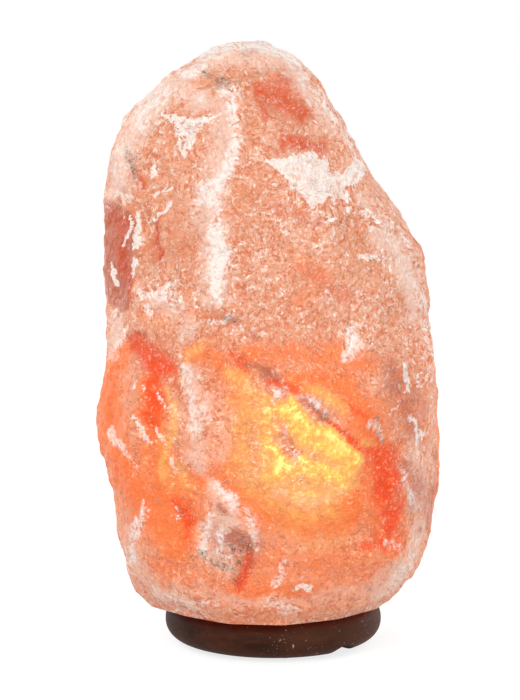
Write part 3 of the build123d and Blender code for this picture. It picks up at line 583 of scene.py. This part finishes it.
BACK_SEAMS = (
    bulb_flushed(1.0, (140, 430, 40), (200, 480, 64), (300, 500, 66), (370, 460, 46), (400, 410, 30)),
    bulb_flushed(0.6, (210, 350, 30), (270, 360, 36), (330, 370, 28)),
    lit(0.32, (232, 376, 26), (260, 426, 44), (290, 484, 42)),
    lit(0.5, (238, 396, 18), (262, 432, 28), (296, 478, 26)),
    lit(0.76, (246, 410, 10), (264, 434, 17), (284, 462, 13)),
    lit(-1.0, (272, 378, 12), (292, 410, 10), (312, 440, 10), (330, 474, 9), soft=0.3),
    lit(0.36, (330, 400, 9), (346, 430, 12), (352, 460, 9)),
    hazed_and_rim_lit(1.0, (236, 66, 24), (280, 50, 24), (320, 64, 22), (360, 104, 20), (384, 150, 18)),
    frosted(0.85, (256, 50, 9), (286, 44, 11), (316, 56, 9)),
    hazed_and_rim_lit(1.0, (214, 110, 22), (236, 160, 26), (228, 220, 22), (246, 270, 26), (238, 330, 20)),
    frosted(0.8, (212, 120, 7), (226, 148, 9), (236, 174, 12), (228, 200, 9), (226, 224, 8),
            (242, 252, 12), (248, 276, 10), (240, 316, 7)),
    hazed_and_rim_lit(0.9, (340, 190, 20), (356, 230, 24), (350, 270, 20)),
    flaked(1.0, (312, 178, 3), (326, 184, 9), (340, 194, 14), (352, 210, 9), (350, 226, 4), soft=0.25),
    flaked(0.9, (330, 204, 10), (326, 220, 7), (330, 232, 3), soft=0.3),
    flaked(0.7, (156, 346, 3), (168, 360, 6), (176, 378, 4), soft=0.6),
    reddened(1.0, (290, 104, 9), (306, 116, 17), (322, 128, 12)),
    reddened(0.9, (184, 250, 9), (180, 280, 13), (170, 306, 10)),
    reddened(1.0, (350, 450, 9), (352, 480, 15), (344, 516, 16), (324, 542, 10)),
    reddened(0.9, (176, 380, 12), (170, 420, 16), (180, 460, 12)),
    dulled(0.8, (366, 300, 12), (380, 340, 20), (378, 390, 18), (366, 420, 8), soft=0.7),
    frosted(0.6, (300, 330, 7), (308, 346, 10), (302, 360, 6)),
    sooted(0.9, (284, 88, 6), (294, 94, 8), (306, 98, 6)),
    sooted(0.8, (200, 540, 7), (212, 550, 9), (208, 564, 6)),
    dulled(0.6, (196, 532, 12), (212, 550, 16), (224, 566, 10)),
    hazed_and_rim_lit(0.9, (190, 500, 14), (206, 524, 20), (220, 548, 18)),
    calmed(0.8, (280, 250, 26), (296, 290, 24), (180, 200, 18), (160, 340, 16)),
    calmed(0.7, (270, 530, 28), (320, 500, 24), (140, 470, 22)),
    hazed_and_rim_lit(1.0, (150, 576, 16), (200, 600, 18), (270, 604, 16), (330, 596, 18), (376, 572, 16)),
    frosted(0.6, (160, 584, 8), (190, 600, 9), (300, 604, 8), (360, 584, 9)),
)
LEFT_SEAMS = (
    bulb_flushed(1.0, (150, 420, 40), (210, 470, 62), (290, 490, 64), (360, 450, 46), (396, 410, 28)),
    bulb_flushed(0.6, (220, 350, 28), (270, 360, 34), (320, 370, 26)),
    lit(0.32, (240, 380, 24), (262, 424, 42), (270, 480, 40)),
    lit(0.48, (250, 400, 17), (262, 434, 26), (262, 476, 24)),
    lit(0.72, (254, 412, 9), (264, 436, 14), (258, 462, 11)),
    lit(-1.0, (282, 384, 11), (290, 414, 9), (302, 446, 9), (298, 484, 9), soft=0.3),
    lit(0.34, (330, 396, 9), (342, 424, 12), (338, 452, 8)),
    hazed_and_rim_lit(1.0, (230, 60, 24), (276, 52, 24), (316, 76, 22), (340, 120, 20)),
    frosted(0.8, (246, 50, 10), (276, 46, 11), (302, 60, 8)),
    hazed_and_rim_lit(1.0, (234, 96, 22), (222, 150, 24), (236, 200, 22), (228, 256, 22)),
    frosted(0.8, (234, 100, 7), (226, 128, 10), (222, 152, 11), (232, 180, 8), (238, 206, 9),
            (230, 236, 10), (226, 258, 6)),
    hazed_and_rim_lit(0.9, (330, 280, 18), (346, 320, 22), (340, 356, 16)),
    frosted(0.6, (334, 292, 7), (346, 318, 10), (340, 346, 6)),
    flaked(0.9, (288, 332, 3), (298, 342, 9), (304, 356, 11), (296, 372, 5), soft=0.3),
    reddened(1.0, (300, 190, 9), (290, 216, 15), (288, 246, 16), (296, 276, 9)),
    dulled(0.7, (300, 212, 9), (292, 240, 13), (290, 262, 9), soft=0.7),
    reddened(0.9, (200, 396, 9), (208, 430, 15), (206, 466, 14), (214, 496, 8)),
    reddened(0.8, (358, 400, 9), (366, 440, 13), (352, 476, 10)),
    sooted(0.8, (236, 298, 6), (246, 304, 8), (256, 312, 5)),
    dulled(0.6, (160, 300, 14), (154, 340, 18), (160, 376, 12)),
    dulled(0.55, (300, 530, 12), (318, 548, 14)),
    flaked(0.62, (180, 220, 3), (188, 232, 5), (184, 246, 3), soft=0.6),
    flaked(0.62, (330, 160, 3), (338, 172, 5), (336, 184, 3), soft=0.6),
    calmed(0.8, (190, 160, 20), (180, 200, 18), (260, 320, 20), (360, 240, 16)),
    calmed(0.7, (240, 530, 28), (190, 500, 22), (340, 510, 22)),
    hazed_and_rim_lit(1.0, (156, 568, 14), (196, 594, 18), (262, 604, 16), (330, 592, 18), (376, 568, 14)),
    frosted(0.6, (180, 588, 9), (230, 602, 8), (320, 598, 9)),
)

# Steps in the displayed face, written as seams whose strength is a height in millimetres:
# the vein stands proud, flakes lie on the skin, and faces and inclusions have weathered out.
stepped = seams_of("step")
STEPS = (
    stepped(1.2, (232, 90, 10), (232, 130, 14), (226, 165, 16), (216, 190, 20), (220, 230, 14),
            (217, 270, 18), (215, 300, 16)),
    stepped(1.2, (280, 161, 6), (308, 171, 16), (338, 176, 12), (360, 178, 7), soft=0.4),
    stepped(0.9, (312, 182, 12), (313, 205, 7), soft=0.4),
    stepped(0.8, (172, 114, 8), (186, 124, 14), (185, 154, 5), soft=0.3),
    stepped(1.0, (140, 296, 9), (160, 294, 14), (180, 294, 10), soft=0.6),
    stepped(-1.6, (146, 345, 14), (158, 360, 18), soft=0.8),
    stepped(-1.2, (206, 552, 10), (224, 562, 14), (244, 552, 10), soft=0.7),
    stepped(1.8, (214, 490, 10), (228, 510, 14), (240, 530, 14), soft=0.8),
    stepped(-1.5, (222, 316, 12), (240, 350, 12), (262, 374, 12)),
    stepped(1.6, (190, 370, 14), (196, 410, 18), (190, 452, 14)),
    stepped(-1.0, (380, 440, 16), (394, 480, 18), (388, 520, 14)),
    stepped(1.6, (300, 90, 20), (330, 130, 18), (352, 170, 18)),
    stepped(1.4, (132, 545, 10), (135, 570, 12), (160, 600, 12)),
)


def side_ways(turn):
    """Level ways to the right and towards the viewer, on the elevation of one side."""
    turn = radians(turn)
    return np.array((cos(turn), sin(turn), 0)), np.array((sin(turn), -cos(turn), 0))


def elevation(places, turn):
    """Units across and down at which each place shows on the elevation of one side: its
    offsets from the line of sight, to the right and upwards, over its distance from the
    eye along that line."""
    right, back = side_ways(turn)
    rise = radians(EYE_RISE)
    sight = -back * cos(rise) - np.array((0, 0, sin(rise)))
    up = np.cross(right, sight)
    aim = right * AIM[0] + np.array((0, 0, AIM[2]))
    offset = places - (aim - sight * EYE_DISTANCE)
    unit = LENS / SENSOR * PICTURE_HEIGHT / (offset @ sight)
    return PICTURE_WIDTH / 2 + unit * (offset @ right), PICTURE_HEIGHT / 2 - unit * (offset @ up)


def seam_weight(across, down, seam):
    """How strongly a seam shows, from 0 to 1: each piece of its line is a row of circles
    whose size changes evenly, and the weight falls evenly over the soft part of the circle
    and reaches 0 a quarter of the half width outside it."""
    best = np.full(len(across), np.inf)
    spots = seam.spots if len(seam.spots) > 1 else seam.spots * 2
    for (x0, y0, w0), (x1, y1, w1) in zip(spots, spots[1:]):
        length = max((x1 - x0) ** 2 + (y1 - y0) ** 2, 1e-6)
        along = np.clip(((across - x0) * (x1 - x0) + (down - y0) * (y1 - y0)) / length, 0, 1)
        gap = np.hypot(across - x0 - along * (x1 - x0), down - y0 - along * (y1 - y0))
        best = np.minimum(best, gap / (w0 + along * (w1 - w0)))
    return np.clip((1.25 - best) / (0.25 + seam.soft), 0, 1)


def relief(places, ways):
    """Height in millimetres of all the steps together, faded where the skin turns from the
    displayed face."""
    across, down = elevation(places, 0)
    seen = ramp(-0.1, 0.3, -ways[:, 1])
    return sum(step.strength * seam_weight(across, down, step) * seen for step in STEPS)


def minerals(places, ways):
    """Weight of each mineral at each place of the skin, from the seams of the four sides.
    Their outlines wander with two noises, and each side fades where the skin turns from it.
    The displayed face comes last, and the others give way to it."""
    weights = {kind: np.zeros(len(places)) for kind in KINDS}
    sway = []
    for seed in (700, 710):
        broad, fine = layered_noise(places, 0.018, seed, 3), layered_noise(places, 0.0045, seed + 30, 2)
        sway.append(broad * 6 + fine * 5)
    for turn, seams in ((90, RIGHT_SEAMS), (180, BACK_SEAMS), (270, LEFT_SEAMS), (0, FRONT_SEAMS)):
        across, down = elevation(places, turn)
        towards = ways @ side_ways(turn)[1]
        low, high = (0.25, 0.65) if turn else (0.0, 0.3)
        seen = ramp(low, high, towards + 0.25 * np.maximum(ways[:, 2], 0))
        if turn == 0:
            for kind in KINDS:
                weights[kind] *= 1 - ramp(-0.05, 0.25, towards)
        for seam in seams:
            weight = seam_weight(across + sway[0], down + sway[1], seam) * seen
            if seam.strength < 0:
                weights[seam.kind] *= 1 + seam.strength * weight
            else:
                weights[seam.kind] = np.maximum(weights[seam.kind], seam.strength * weight)
    return weights


def make_mesh(name, places, faces, smooth=True):
    """A mesh object at the origin, from places and lists of faces."""
    mesh = bpy.data.meshes.new(name)
    mesh.from_pydata(places.tolist(), [], [face for group in faces for face in group.tolist()])
    mesh.update()
    if smooth:
        mesh.polygons.foreach_set("use_smooth", np.ones(len(mesh.polygons), bool))
    made = bpy.data.objects.new(name, mesh)
    bpy.context.scene.collection.objects.link(made)
    return made


# ================================================================== materials
class Field:
    """A number or colour that varies over a surface, with arithmetic for numbers."""

    def __init__(self, nodes, socket):
        self.nodes, self.socket = nodes, socket

    def math(self, operation, *values, swap=False):
        """A maths node of this field and the values, or of the values and this field."""
        values = (*values, self) if swap else (self, *values)
        return self.nodes.node("ShaderNodeMath", {"operation": operation}, dict(enumerate(values)))

    def __add__(self, other):
        return self.math("ADD", other)

    def __sub__(self, other):
        return self.math("SUBTRACT", other)

    def __rsub__(self, other):
        return self.math("SUBTRACT", other, swap=True)

    def __mul__(self, other):
        return self.math("MULTIPLY", other)

    __radd__, __rmul__ = __add__, __mul__

    def most(self, other):
        return self.math("MAXIMUM", other)

    def least(self, other):
        return self.math("MINIMUM", other)

    def between(self, low, high):
        """0 below low and 1 above high, or the other way round, with a smooth rise."""
        ends = (low, high, 0.0, 1.0) if low < high else (high, low, 1.0, 0.0)
        settings = {"interpolation_type": "SMOOTHSTEP"}
        return self.nodes.node("ShaderNodeMapRange", settings, dict(enumerate((self, *ends))))


class Nodes:
    """The nodes of a material or of the world."""

    def __init__(self, tree):
        self.tree = tree

    def node(self, kind, settings=None, values=None, out=0):
        """Any node: its settings, what goes into its sockets, and the socket read from it."""
        made = self.tree.nodes.new(kind)
        for name, value in (settings or {}).items():
            if name == "stops":
                stops = made.color_ramp.elements
                for stop, (place, colour) in zip([stops[0], stops[1]], value):
                    stop.position, stop.color = place, (*colour, 1)
                for place, colour in value[2:]:
                    stops.new(place).color = (*colour, 1)
            else:
                setattr(made, name, value)
        for name, value in (values or {}).items():
            self.feed(made.inputs[name], value)
        return Field(self, made.outputs[out])

    def feed(self, socket, value):
        """Links a field to a socket, or writes a plain value there."""
        if isinstance(value, Field):
            self.tree.links.new(value.socket, socket)
        elif isinstance(value, tuple) and len(value) == 3 and socket.type == "RGBA":
            socket.default_value = (*value, 1)
        else:
            socket.default_value = value

    def seen_directly(self):
        """1 where the camera looks at a thing itself, or at its image in gloss or glass."""
        seen = self.node("ShaderNodeLightPath", out="Is Camera Ray")
        for ray in ("Is Glossy Ray", "Is Transmission Ray"):
            seen = seen.most(self.node("ShaderNodeLightPath", out=ray))
        return seen


class Recipe(Nodes):
    """One material: its shader, and the nodes that feed it."""

    def __init__(self, name, **shader):
        self.material = bpy.data.materials.new(name)
        self.material.use_nodes = True
        super().__init__(self.material.node_tree)
        self.shader = self.tree.nodes["Principled BSDF"]
        for socket, value in shader.items():
            self.set(socket.replace("_", " ").title().replace("Ior", "IOR"), value)
        self.here = self.node("ShaderNodeTexCoord", out="Object")

    def set(self, name, value):
        """Feeds a socket of the shader."""
        self.feed(self.shader.inputs[name], value)

    def attribute(self, name):
        return self.node("ShaderNodeAttribute", {"attribute_name": name}, out="Fac")

    def height(self):
        """Metres above the table."""
        return self.node("ShaderNodeSeparateXYZ", None, {0: self.here}, out="Z")

    def noise(self, scale, detail=2.0, roughness=0.5, where=None, out="Fac"):
        values = {"Vector": where or self.here, "Scale": scale}
        values.update({"Detail": detail, "Roughness": roughness})
        return self.node("ShaderNodeTexNoise", None, values, out)

    def cells(self, scale, where=None, out="Distance"):
        values = {"Vector": where or self.here, "Scale": scale}
        return self.node("ShaderNodeTexVoronoi", None, values, out)

    def cell_numbers(self, scale, where):
        """One number for each cell: its colour, which arithmetic reads as a grey."""
        return self.cells(scale, where, out="Color") * 1.0

    def vector(self, operation, *values):
        return self.node("ShaderNodeVectorMath", {"operation": operation}, dict(enumerate(values)))

    def stretch(self, x, y, z):
        """Places times a number for each axis; a large one makes what lies there fine."""
        values = {"Vector": self.here, "Scale": Vector((x, y, z))}
        return self.node("ShaderNodeMapping", None, values)

    def mix(self, amount, first, second):
        """The first colour where the amount is 0, the second where it is 1."""
        settings = {"data_type": "RGBA"}
        return self.node("ShaderNodeMix", settings, {0: amount, 6: first, 7: second}, out=2)

    def bump(self, height, distance, strength=1.0):
        """Normals tilted by a height, which stands for this distance in metres where it is 1."""
        values = {"Height": height, "Distance": distance, "Strength": strength}
        return self.node("ShaderNodeBump", None, values, out="Normal")


# Colours of the salt. The bulb-warmed ones lie low on the block, and the bulb-lit ones where the
# flush round the bulb reaches: both paint the bulb's light onto the salt.
SALMON, BULB_WARMED_SALMON = (0.750, 0.290, 0.155), (0.870, 0.290, 0.140)
PALE_CLOUD = (0.840, 0.390, 0.240)
PALE_MOTTLE = (0.850, 0.430, 0.300)
RUST_AND_SHADE = (0.620, 0.125, 0.045)
BULB_LIT_ORANGE = (0.885, 0.190, 0.048)
GLOWING_ORANGE = (0.890, 0.400, 0.120)
VEIN_RED, BULB_WARMED_VEIN_RED = (0.690, 0.095, 0.028), (0.810, 0.070, 0.010)
# Milky salt, which along the rims is also a painted pale rim of light.
MILK_AND_RIM_LIGHT = (0.890, 0.590, 0.475)
DULL_BROWN, DULL_RED = (0.500, 0.125, 0.070), (0.540, 0.075, 0.026)
PALE_SLIVER, BULB_LIT_SLIVER = (0.890, 0.580, 0.450), (0.930, 0.420, 0.170)
GLOWING_SLIVER = (0.940, 0.680, 0.260)
BRUISE_WHITE = (0.940, 0.850, 0.790)
FLAKE_WHITE = (0.930, 0.825, 0.760)
GLINT, BULB_LIT_GLINT = (0.950, 0.870, 0.800), (0.950, 0.590, 0.350)
SHADED_WHITE = (0.760, 0.390, 0.270)
ROCK_BLACK, ROCK_GREY = (0.110, 0.055, 0.038), (0.460, 0.300, 0.230)
# Light given by the salt: the bulb's light painted on as a glow of the salt itself.
NO_LIGHT = (0.0, 0.0, 0.0)
FLUSH_LIGHT = (0.10, 0.010, 0.0)
EMBER_LIGHT = (0.12, 0.0, 0.0)
GLOW_STOPS = [
    (0.0, NO_LIGHT),
    (0.25, (0.06, 0.003, 0.0)),
    (0.5, (0.13, 0.05, 0.0)),
    (0.75, (0.22, 0.24, 0.0)),
    (1.0, (0.45, 0.60, 0.20)),
]


def rock_salt():
    """Salmon rock salt: clouds, then pale and dark slivers of crystal whose direction
    changes from grain to grain, and over them the minerals of the seams with ragged rims.
    The dark slivers hold painted shade as well as darker crystal, and the brightest slivers
    and needles are painted glints. The bulb's light is painted on: the salt is warmer low on
    the block and orange in the flush, and clean salt that is flushed, and veins low on the
    block, give a little light, and the glow gives more."""
    r = Recipe("rock_salt_lit", roughness=0.5, ior=1.5, specular_ior_level=0.15)
    r.set("Subsurface Weight", 0.1)
    r.set("Subsurface Radius", (0.012, 0.005, 0.003))
    r.set("Subsurface Scale", 0.4)
    r.set("Emission Strength", 1.0)

    # Places pushed about by up to 2.5 mm, so that no cell has a straight edge.
    sway = r.noise(110, 2, out="Color")
    reach, back = Vector((1, 1, 1)) * 0.005, Vector((1, 1, 1)) * -0.0025
    there = r.vector("ADD", r.here, r.vector("MULTIPLY_ADD", sway, reach, back))
    cloud = r.noise(22, 4, 0.55, there)
    mottle = r.noise(90, 4, 0.6, there)
    sugar = r.noise(400, 3, 0.65, there)

    def laid(grain, along, across, shift):
        """Places measured along and across a direction that changes from grain to grain."""
        full_turn = Vector((2 * pi, 2 * pi, 2 * pi))
        turns = r.vector("MULTIPLY", r.cells(grain, there, out="Color"), full_turn)
        settings = {"rotation_type": "EULER_XYZ"}
        turned = r.node("ShaderNodeVectorRotate", settings, {"Vector": there, "Rotation": turns})
        scale = Vector((along, across, across))
        values = {"Vector": turned, "Location": Vector((shift, shift, shift)), "Scale": scale}
        return r.node("ShaderNodeMapping", None, values)

    # Flat-sided crystals of two sizes, and fine needles and nicks among them: the needles are
    # painted glints, and the nicks darker crystal with painted shade.
    large = r.cell_numbers(1.0, laid(90, 220, 620, 3.0))
    small = r.cell_numbers(1.0, laid(170, 430, 1050, 9.0))
    tiny = r.cell_numbers(1.0, laid(240, 480, 1800, 6.0))
    calm = r.attribute("calm")
    needle_glint = tiny.between(0.74, 0.86) * (1 - calm * 0.6)
    nick_shade = tiny.between(0.26, 0.14) * (1 - calm * 0.6)
    grain = large * 0.40 + small * 0.35 + sugar * 0.5 - 0.125
    busy = (r.noise(30, 4, 0.62, there) - 0.5) * 0.5 - calm * 0.12
    pale = (grain + busy).between(0.50, 0.72) * (1 - calm * 0.5)
    glint = (grain + busy).between(0.69, 0.77)
    dark = (grain - busy * 0.5).between(0.43, 0.30)
    grit = (grain - 0.5) * 1.6 + (mottle - 0.5) * 1.1

    # Warmer low on the block, near the bulb: painted light of the bulb.
    low = r.height().between(0.185, 0.13)
    body = r.mix(low, SALMON, BULB_WARMED_SALMON)
    body = r.mix(cloud.between(0.36, 0.62) * 0.7, body, PALE_CLOUD)
    body = r.mix(mottle.between(0.48, 0.68) * 0.4, body, PALE_MOTTLE)
    # Dark slivers and nicks: partly darker crystal, partly painted shade among the chips.
    body = r.mix((dark * 0.65).most(nick_shade * 0.45), body, RUST_AND_SHADE)

    def kind(name, ragged, low, high):
        """How far a mineral covers the salt, with its rim broken up by the grain."""
        weight = r.attribute(name)
        return (weight + grit * weight.between(0.0, 0.35) * ragged).between(low, high)

    flush = kind("flush", 0.8, 0.0, 0.85)
    haze = kind("haze", 0.6, 0.0, 0.9)
    dusk = kind("dusk", 1.0, 0.10, 0.75)
    ember = kind("ember", 1.0, 0.05, 0.80)
    frost = kind("frost", 1.2, 0.05, 1.0)
    flake = kind("flake", 0.8, 0.28, 0.58)
    crust = r.noise(650, 2, 0.7, there).between(0.42, 0.58)
    soot = kind("soot", 2.0, 0.30, 0.80) * (crust * 0.6 + 0.4)
    amber = r.attribute("amber")

    # Painted light of the bulb: the salt turns orange in the flush and in the glow.
    body = r.mix(flush * 0.92, body, BULB_LIT_ORANGE)
    body = r.mix(amber.between(0.05, 0.45) * 0.9, body, GLOWING_ORANGE)
    body = r.mix(ember * 0.92, body, r.mix(low, VEIN_RED, BULB_WARMED_VEIN_RED))
    body = r.mix(haze * 0.78, body, MILK_AND_RIM_LIGHT)
    body = r.mix(dusk * 0.85, body, r.mix(ember, DULL_BROWN, DULL_RED))
    light = r.mix(flush, PALE_SLIVER, BULB_LIT_SLIVER)
    light = r.mix(amber.between(0.1, 0.5), light, GLOWING_SLIVER)
    plain = 1 - (flush * 0.35).most(dusk * 0.5).most(ember * 0.5)
    body = r.mix(pale * plain * 0.65, body, light)
    body = r.mix(frost * 0.90, body, BRUISE_WHITE)
    body = r.mix(flake * (small * 0.4 + 0.68).least(1.0), body, FLAKE_WHITE)
    # Painted glints: the brightest slivers and the needles, fewer over the glow.
    bright = glint.most(needle_glint * 0.55) * amber.between(0.7, 0.3)
    body = r.mix(bright * plain * 0.8, body, r.mix(flush * 0.8, GLINT, BULB_LIT_GLINT))
    body = r.mix(frost.most(flake) * dark * 0.55, body, SHADED_WHITE)
    body = r.mix(soot * 0.80, body, r.mix(small.between(0.3, 0.7), ROCK_BLACK, ROCK_GREY))
    r.set("Base Color", body)

    # Painted light of the bulb: a glow where it shines through, and a faint glow of clean flushed salt and
    # of red veins low on the block.
    flicker = (r.noise(210, 3, 0.6, there) - 0.5) * 0.9 + (r.cell_numbers(150, there) - 0.5) * 0.3
    hot = amber + grit * 0.24 + flicker + needle_glint * 0.10 - nick_shade * 0.10
    glow = r.node("ShaderNodeValToRGB", {"stops": GLOW_STOPS}, {0: hot * amber.between(0.0, 0.2)})
    clean = 1 - (frost.most(flake) * 0.6).most(soot).most(dusk * 0.5).most(haze * 0.6)
    warm = r.mix(flush * clean, NO_LIGHT, FLUSH_LIGHT)
    warm = r.mix(ember * clean * low, warm, EMBER_LIGHT)
    r.set("Emission Color", r.mix(amber.between(0.1, 0.3), warm, glow))

    r.set("Roughness", 0.60 - grain * 0.25)
    facets = r.cells(260, there) * 0.9 + r.cells(700) * 0.4
    r.set("Normal", r.bump(facets + grain * 1.3, 0.0011))
    r.material.cycles.emission_sampling = "NONE"
    return r.material


def stained_wood():
    """Dark stained wood: long grain, darker in its pores, with specks of salt dust, and redder
    near the salt, where its red reflection and shade are painted on."""
    r = Recipe("stained_wood", roughness=0.5, specular_ior_level=0.12)
    grain = r.noise(1.0, 5, 0.6, r.stretch(14, 150, 170))
    pores = r.noise(1.0, 2, 0.5, r.stretch(40, 900, 1000))
    broad = r.noise(26, 3)
    body = r.mix(grain.between(0.3, 0.7), (0.020, 0.0045, 0.0015), (0.068, 0.019, 0.007))
    body = r.mix(broad.between(0.4, 0.7) * 0.5, body, (0.090, 0.032, 0.014))
    # Redder at the top, next to the salt: painted red reflection and shade of the lamp.
    salt_reflection_and_shade = r.height().between(0.014, 0.021)
    body = r.mix(salt_reflection_and_shade * 0.5, body, (0.110, 0.012, 0.004))
    body = r.mix(pores.between(0.55, 0.7) * 0.6, body, (0.022, 0.011, 0.007))
    dust = r.noise(900, 1, 0.4).between(0.70, 0.76) * r.noise(60, 2).between(0.42, 0.6)
    body = r.mix(dust * 0.65, body, (0.50, 0.42, 0.36))
    r.set("Base Color", body)
    r.set("Roughness", 0.50 + grain * 0.2)
    r.set("Normal", r.bump(grain * 0.6 + pores * 0.4, 0.0004, 0.7))
    return r.material


def speckled(name, colour, other, scale, roughness, metallic=0.0, bump=0.00005):
    """A plain finish with a soft change of tone and a fine grain, whose height is in metres."""
    r = Recipe(name, metallic=metallic)
    tone = r.noise(scale, 4, 0.6)
    grain = r.noise(scale * 14, 2)
    r.set("Base Color", r.mix(tone.between(0.35, 0.7), colour, other))
    r.set("Roughness", roughness + (tone - 0.5) * 0.2)
    r.set("Normal", r.bump(grain, bump, 0.6))
    return r.material


def glowing_wire():
    """Hot tungsten, a little paler in places."""
    r = Recipe("hot_tungsten", roughness=0.5)
    paler = r.noise(300).between(0.4, 0.6)
    r.set("Emission Color", r.mix(paler, (1.0, 0.62, 0.22), (1.0, 0.75, 0.36)))
    r.set("Emission Strength", 6.0)
    return r.material


def clear_glass():
    """Clear glass with the faintest change of tint."""
    r = Recipe("clear_glass", roughness=0.03, ior=1.46, transmission_weight=1.0)
    tint = r.noise(50).between(0.3, 0.7)
    r.set("Base Color", r.mix(tint, (0.97, 0.98, 0.98), (0.99, 0.97, 0.94)))
    return r.material


def dress(material, *nodes):
    """Gives CAD nodes a material through their own material slots."""
    for node in nodes:
        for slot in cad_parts[node].material_slots:
            slot.material = material


# ================================================================== the block
def make_crystal():
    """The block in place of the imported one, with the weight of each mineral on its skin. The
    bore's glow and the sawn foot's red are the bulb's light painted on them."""
    places, ways, quads, caps, inside = block_of_salt()
    crystal = make_mesh("hewn_salt_block", places, (quads, caps))
    crystal.data.set_sharp_from_angle(angle=radians(55))
    weights = minerals(places, ways)
    bore = inside & (np.hypot(places[:, 0], places[:, 1]) < BORE_RADIUS + 1 * MM)
    for kind in KINDS:
        weights[kind] = np.where(inside, 0.0, weights[kind])
    # painted light of the bulb: the bore glows, and the sawn foot is red
    weights["amber"] = np.where(bore, 0.7, weights["amber"])
    weights["ember"] = np.where(inside & ~bore, 0.9, weights["ember"])
    for kind in KINDS:
        layer = crystal.data.attributes.new(kind, "FLOAT", "POINT")
        layer.data.foreach_set("value", np.clip(weights[kind], 0, 1))
    crystal.data.materials.append(rock_salt())
    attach(crystal, "lamp")
    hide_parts("salt_crystal")


make_crystal()
dress(stained_wood(), "wooden_base")
dress(speckled("felt", (0.035, 0.033, 0.032), (0.06, 0.056, 0.052), 600, 0.95, bump=0.0002), "foot_pads")
zinc_steel = speckled("zinc_steel", (0.62, 0.62, 0.60), (0.50, 0.50, 0.50), 200, 0.35, 1.0)
dress(zinc_steel, "base_screws", "terminal_screws")
dress(speckled("nylon", (0.62, 0.62, 0.60), (0.55, 0.55, 0.53), 120, 0.5), "screw_plugs")
white_plastic = speckled("white_plastic", (0.80, 0.79, 0.75), (0.74, 0.72, 0.67), 70, 0.3)
dress(white_plastic, "holder_cap", "holder_sleeve")
dress(speckled("ceramic", (0.84, 0.82, 0.76), (0.78, 0.75, 0.68), 90, 0.2), "holder_core")
brass = speckled("brass", (0.70, 0.50, 0.22), (0.55, 0.38, 0.16), 240, 0.3, 1.0)
dress(brass, "terminal_blocks", "screw_shell", "centre_contact")
spring_steel = speckled("spring_steel", (0.60, 0.60, 0.60), (0.48, 0.48, 0.49), 180, 0.28, 1.0)
dress(spring_steel, "clip_collar", "clip_wing_right", "clip_wing_left")
dress(clear_glass(), "bulb_glass", "bulb_stem")
dress(speckled("nickel_plate", (0.72, 0.70, 0.66), (0.62, 0.60, 0.56), 220, 0.22, 1.0), "bulb_cap")
dress(speckled("black_glass", (0.02, 0.02, 0.02), (0.035, 0.03, 0.03), 200, 0.15), "bulb_insulator")
solder = speckled("solder", (0.55, 0.55, 0.55), (0.42, 0.42, 0.43), 400, 0.4, 1.0)
dress(solder, "bulb_tip", "lead_wires")
dress(glowing_wire(), "filament")


# ================================================================== floor, light, camera
def make_floor():
    """A white floor that keeps a soft shadow; seen from below it isn't there."""
    half = 3.0
    corners = np.array([(-half, -half, 0), (half, -half, 0), (half, half, 0), (-half, half, 0)])
    floor = make_mesh("floor", corners, (np.array([[0, 1, 2, 3]]),), smooth=False)
    r = Recipe("white_floor", roughness=0.9)
    r.set("Base Color", (0.30, 0.30, 0.30))
    r.set("Emission Color", (1, 1, 1))
    plain = r.node("ShaderNodeEmission", None, {"Color": (1, 1, 1), "Strength": 0.78})
    white = r.node("ShaderNodeAddShader", None, {0: Field(r, r.shader.outputs[0]), 1: plain})
    paper = r.node("ShaderNodeBsdfDiffuse", None, {"Color": (0.85, 0.85, 0.85)})
    above = r.node("ShaderNodeMixShader", None, {0: r.seen_directly(), 1: paper, 2: white})
    below = r.node("ShaderNodeNewGeometry", out="Backfacing")
    clear = r.node("ShaderNodeBsdfTransparent")
    both = r.node("ShaderNodeMixShader", None, {0: below, 1: above, 2: clear})
    r.tree.links.new(both.socket, r.tree.nodes["Material Output"].inputs["Surface"])
    floor.data.materials.append(r.material)


def make_world(level):
    """Even white light from all round, and plain white where it is seen directly."""
    world = bpy.data.worlds.new("studio")
    bpy.context.scene.world = world
    world.use_nodes = True
    nodes = Nodes(world.node_tree)
    light = world.node_tree.nodes["Background"].inputs
    light["Color"].default_value = (1, 1, 1, 1)
    values = {"Value": nodes.seen_directly(), "To Min": level, "To Max": 1.0}
    nodes.feed(light["Strength"], nodes.node("ShaderNodeMapRange", None, values))


def make_lamp(name, place, target, size, power):
    """A rectangular lamp that points at a target."""
    data = bpy.data.lights.new(name, "AREA")
    data.shape, data.size, data.size_y, data.energy = "RECTANGLE", *size, power
    lamp = bpy.data.objects.new(name, data)
    lamp.location = place
    lamp.rotation_euler = (Vector(target) - Vector(place)).to_track_quat("-Z", "Y").to_euler()
    bpy.context.scene.collection.objects.link(lamp)


def make_camera():
    """The camera in front of the displayed face, from which the elevations are measured."""
    data = bpy.data.cameras.new("camera")
    data.lens, data.sensor_width, data.sensor_fit = LENS, SENSOR, "AUTO"
    data.clip_end = 20
    camera = bpy.data.objects.new("camera", data)
    rise = radians(EYE_RISE)
    camera.location = Vector(AIM) + EYE_DISTANCE * Vector((0, -cos(rise), sin(rise)))
    camera.rotation_euler = (pi / 2 - rise, 0, 0)
    bpy.context.scene.collection.objects.link(camera)
    bpy.context.scene.camera = camera


make_floor()
make_world(0.60)
make_lamp("key", (-0.6, -1.1, 1.1), (0, 0, 0.15), (0.7, 0.7), 12)
make_lamp("fill", (1.1, -0.9, 0.6), (0, 0, 0.15), (0.8, 0.8), 5)
make_lamp("rim_left", (-0.8, 0.6, 0.5), (0, 0, 0.17), (0.3, 0.9), 3.5)
make_lamp("rim_right", (0.8, 0.6, 0.5), (0, 0, 0.17), (0.3, 0.9), 3.5)
make_camera()
bpy.context.scene.view_settings.view_transform = "Standard"
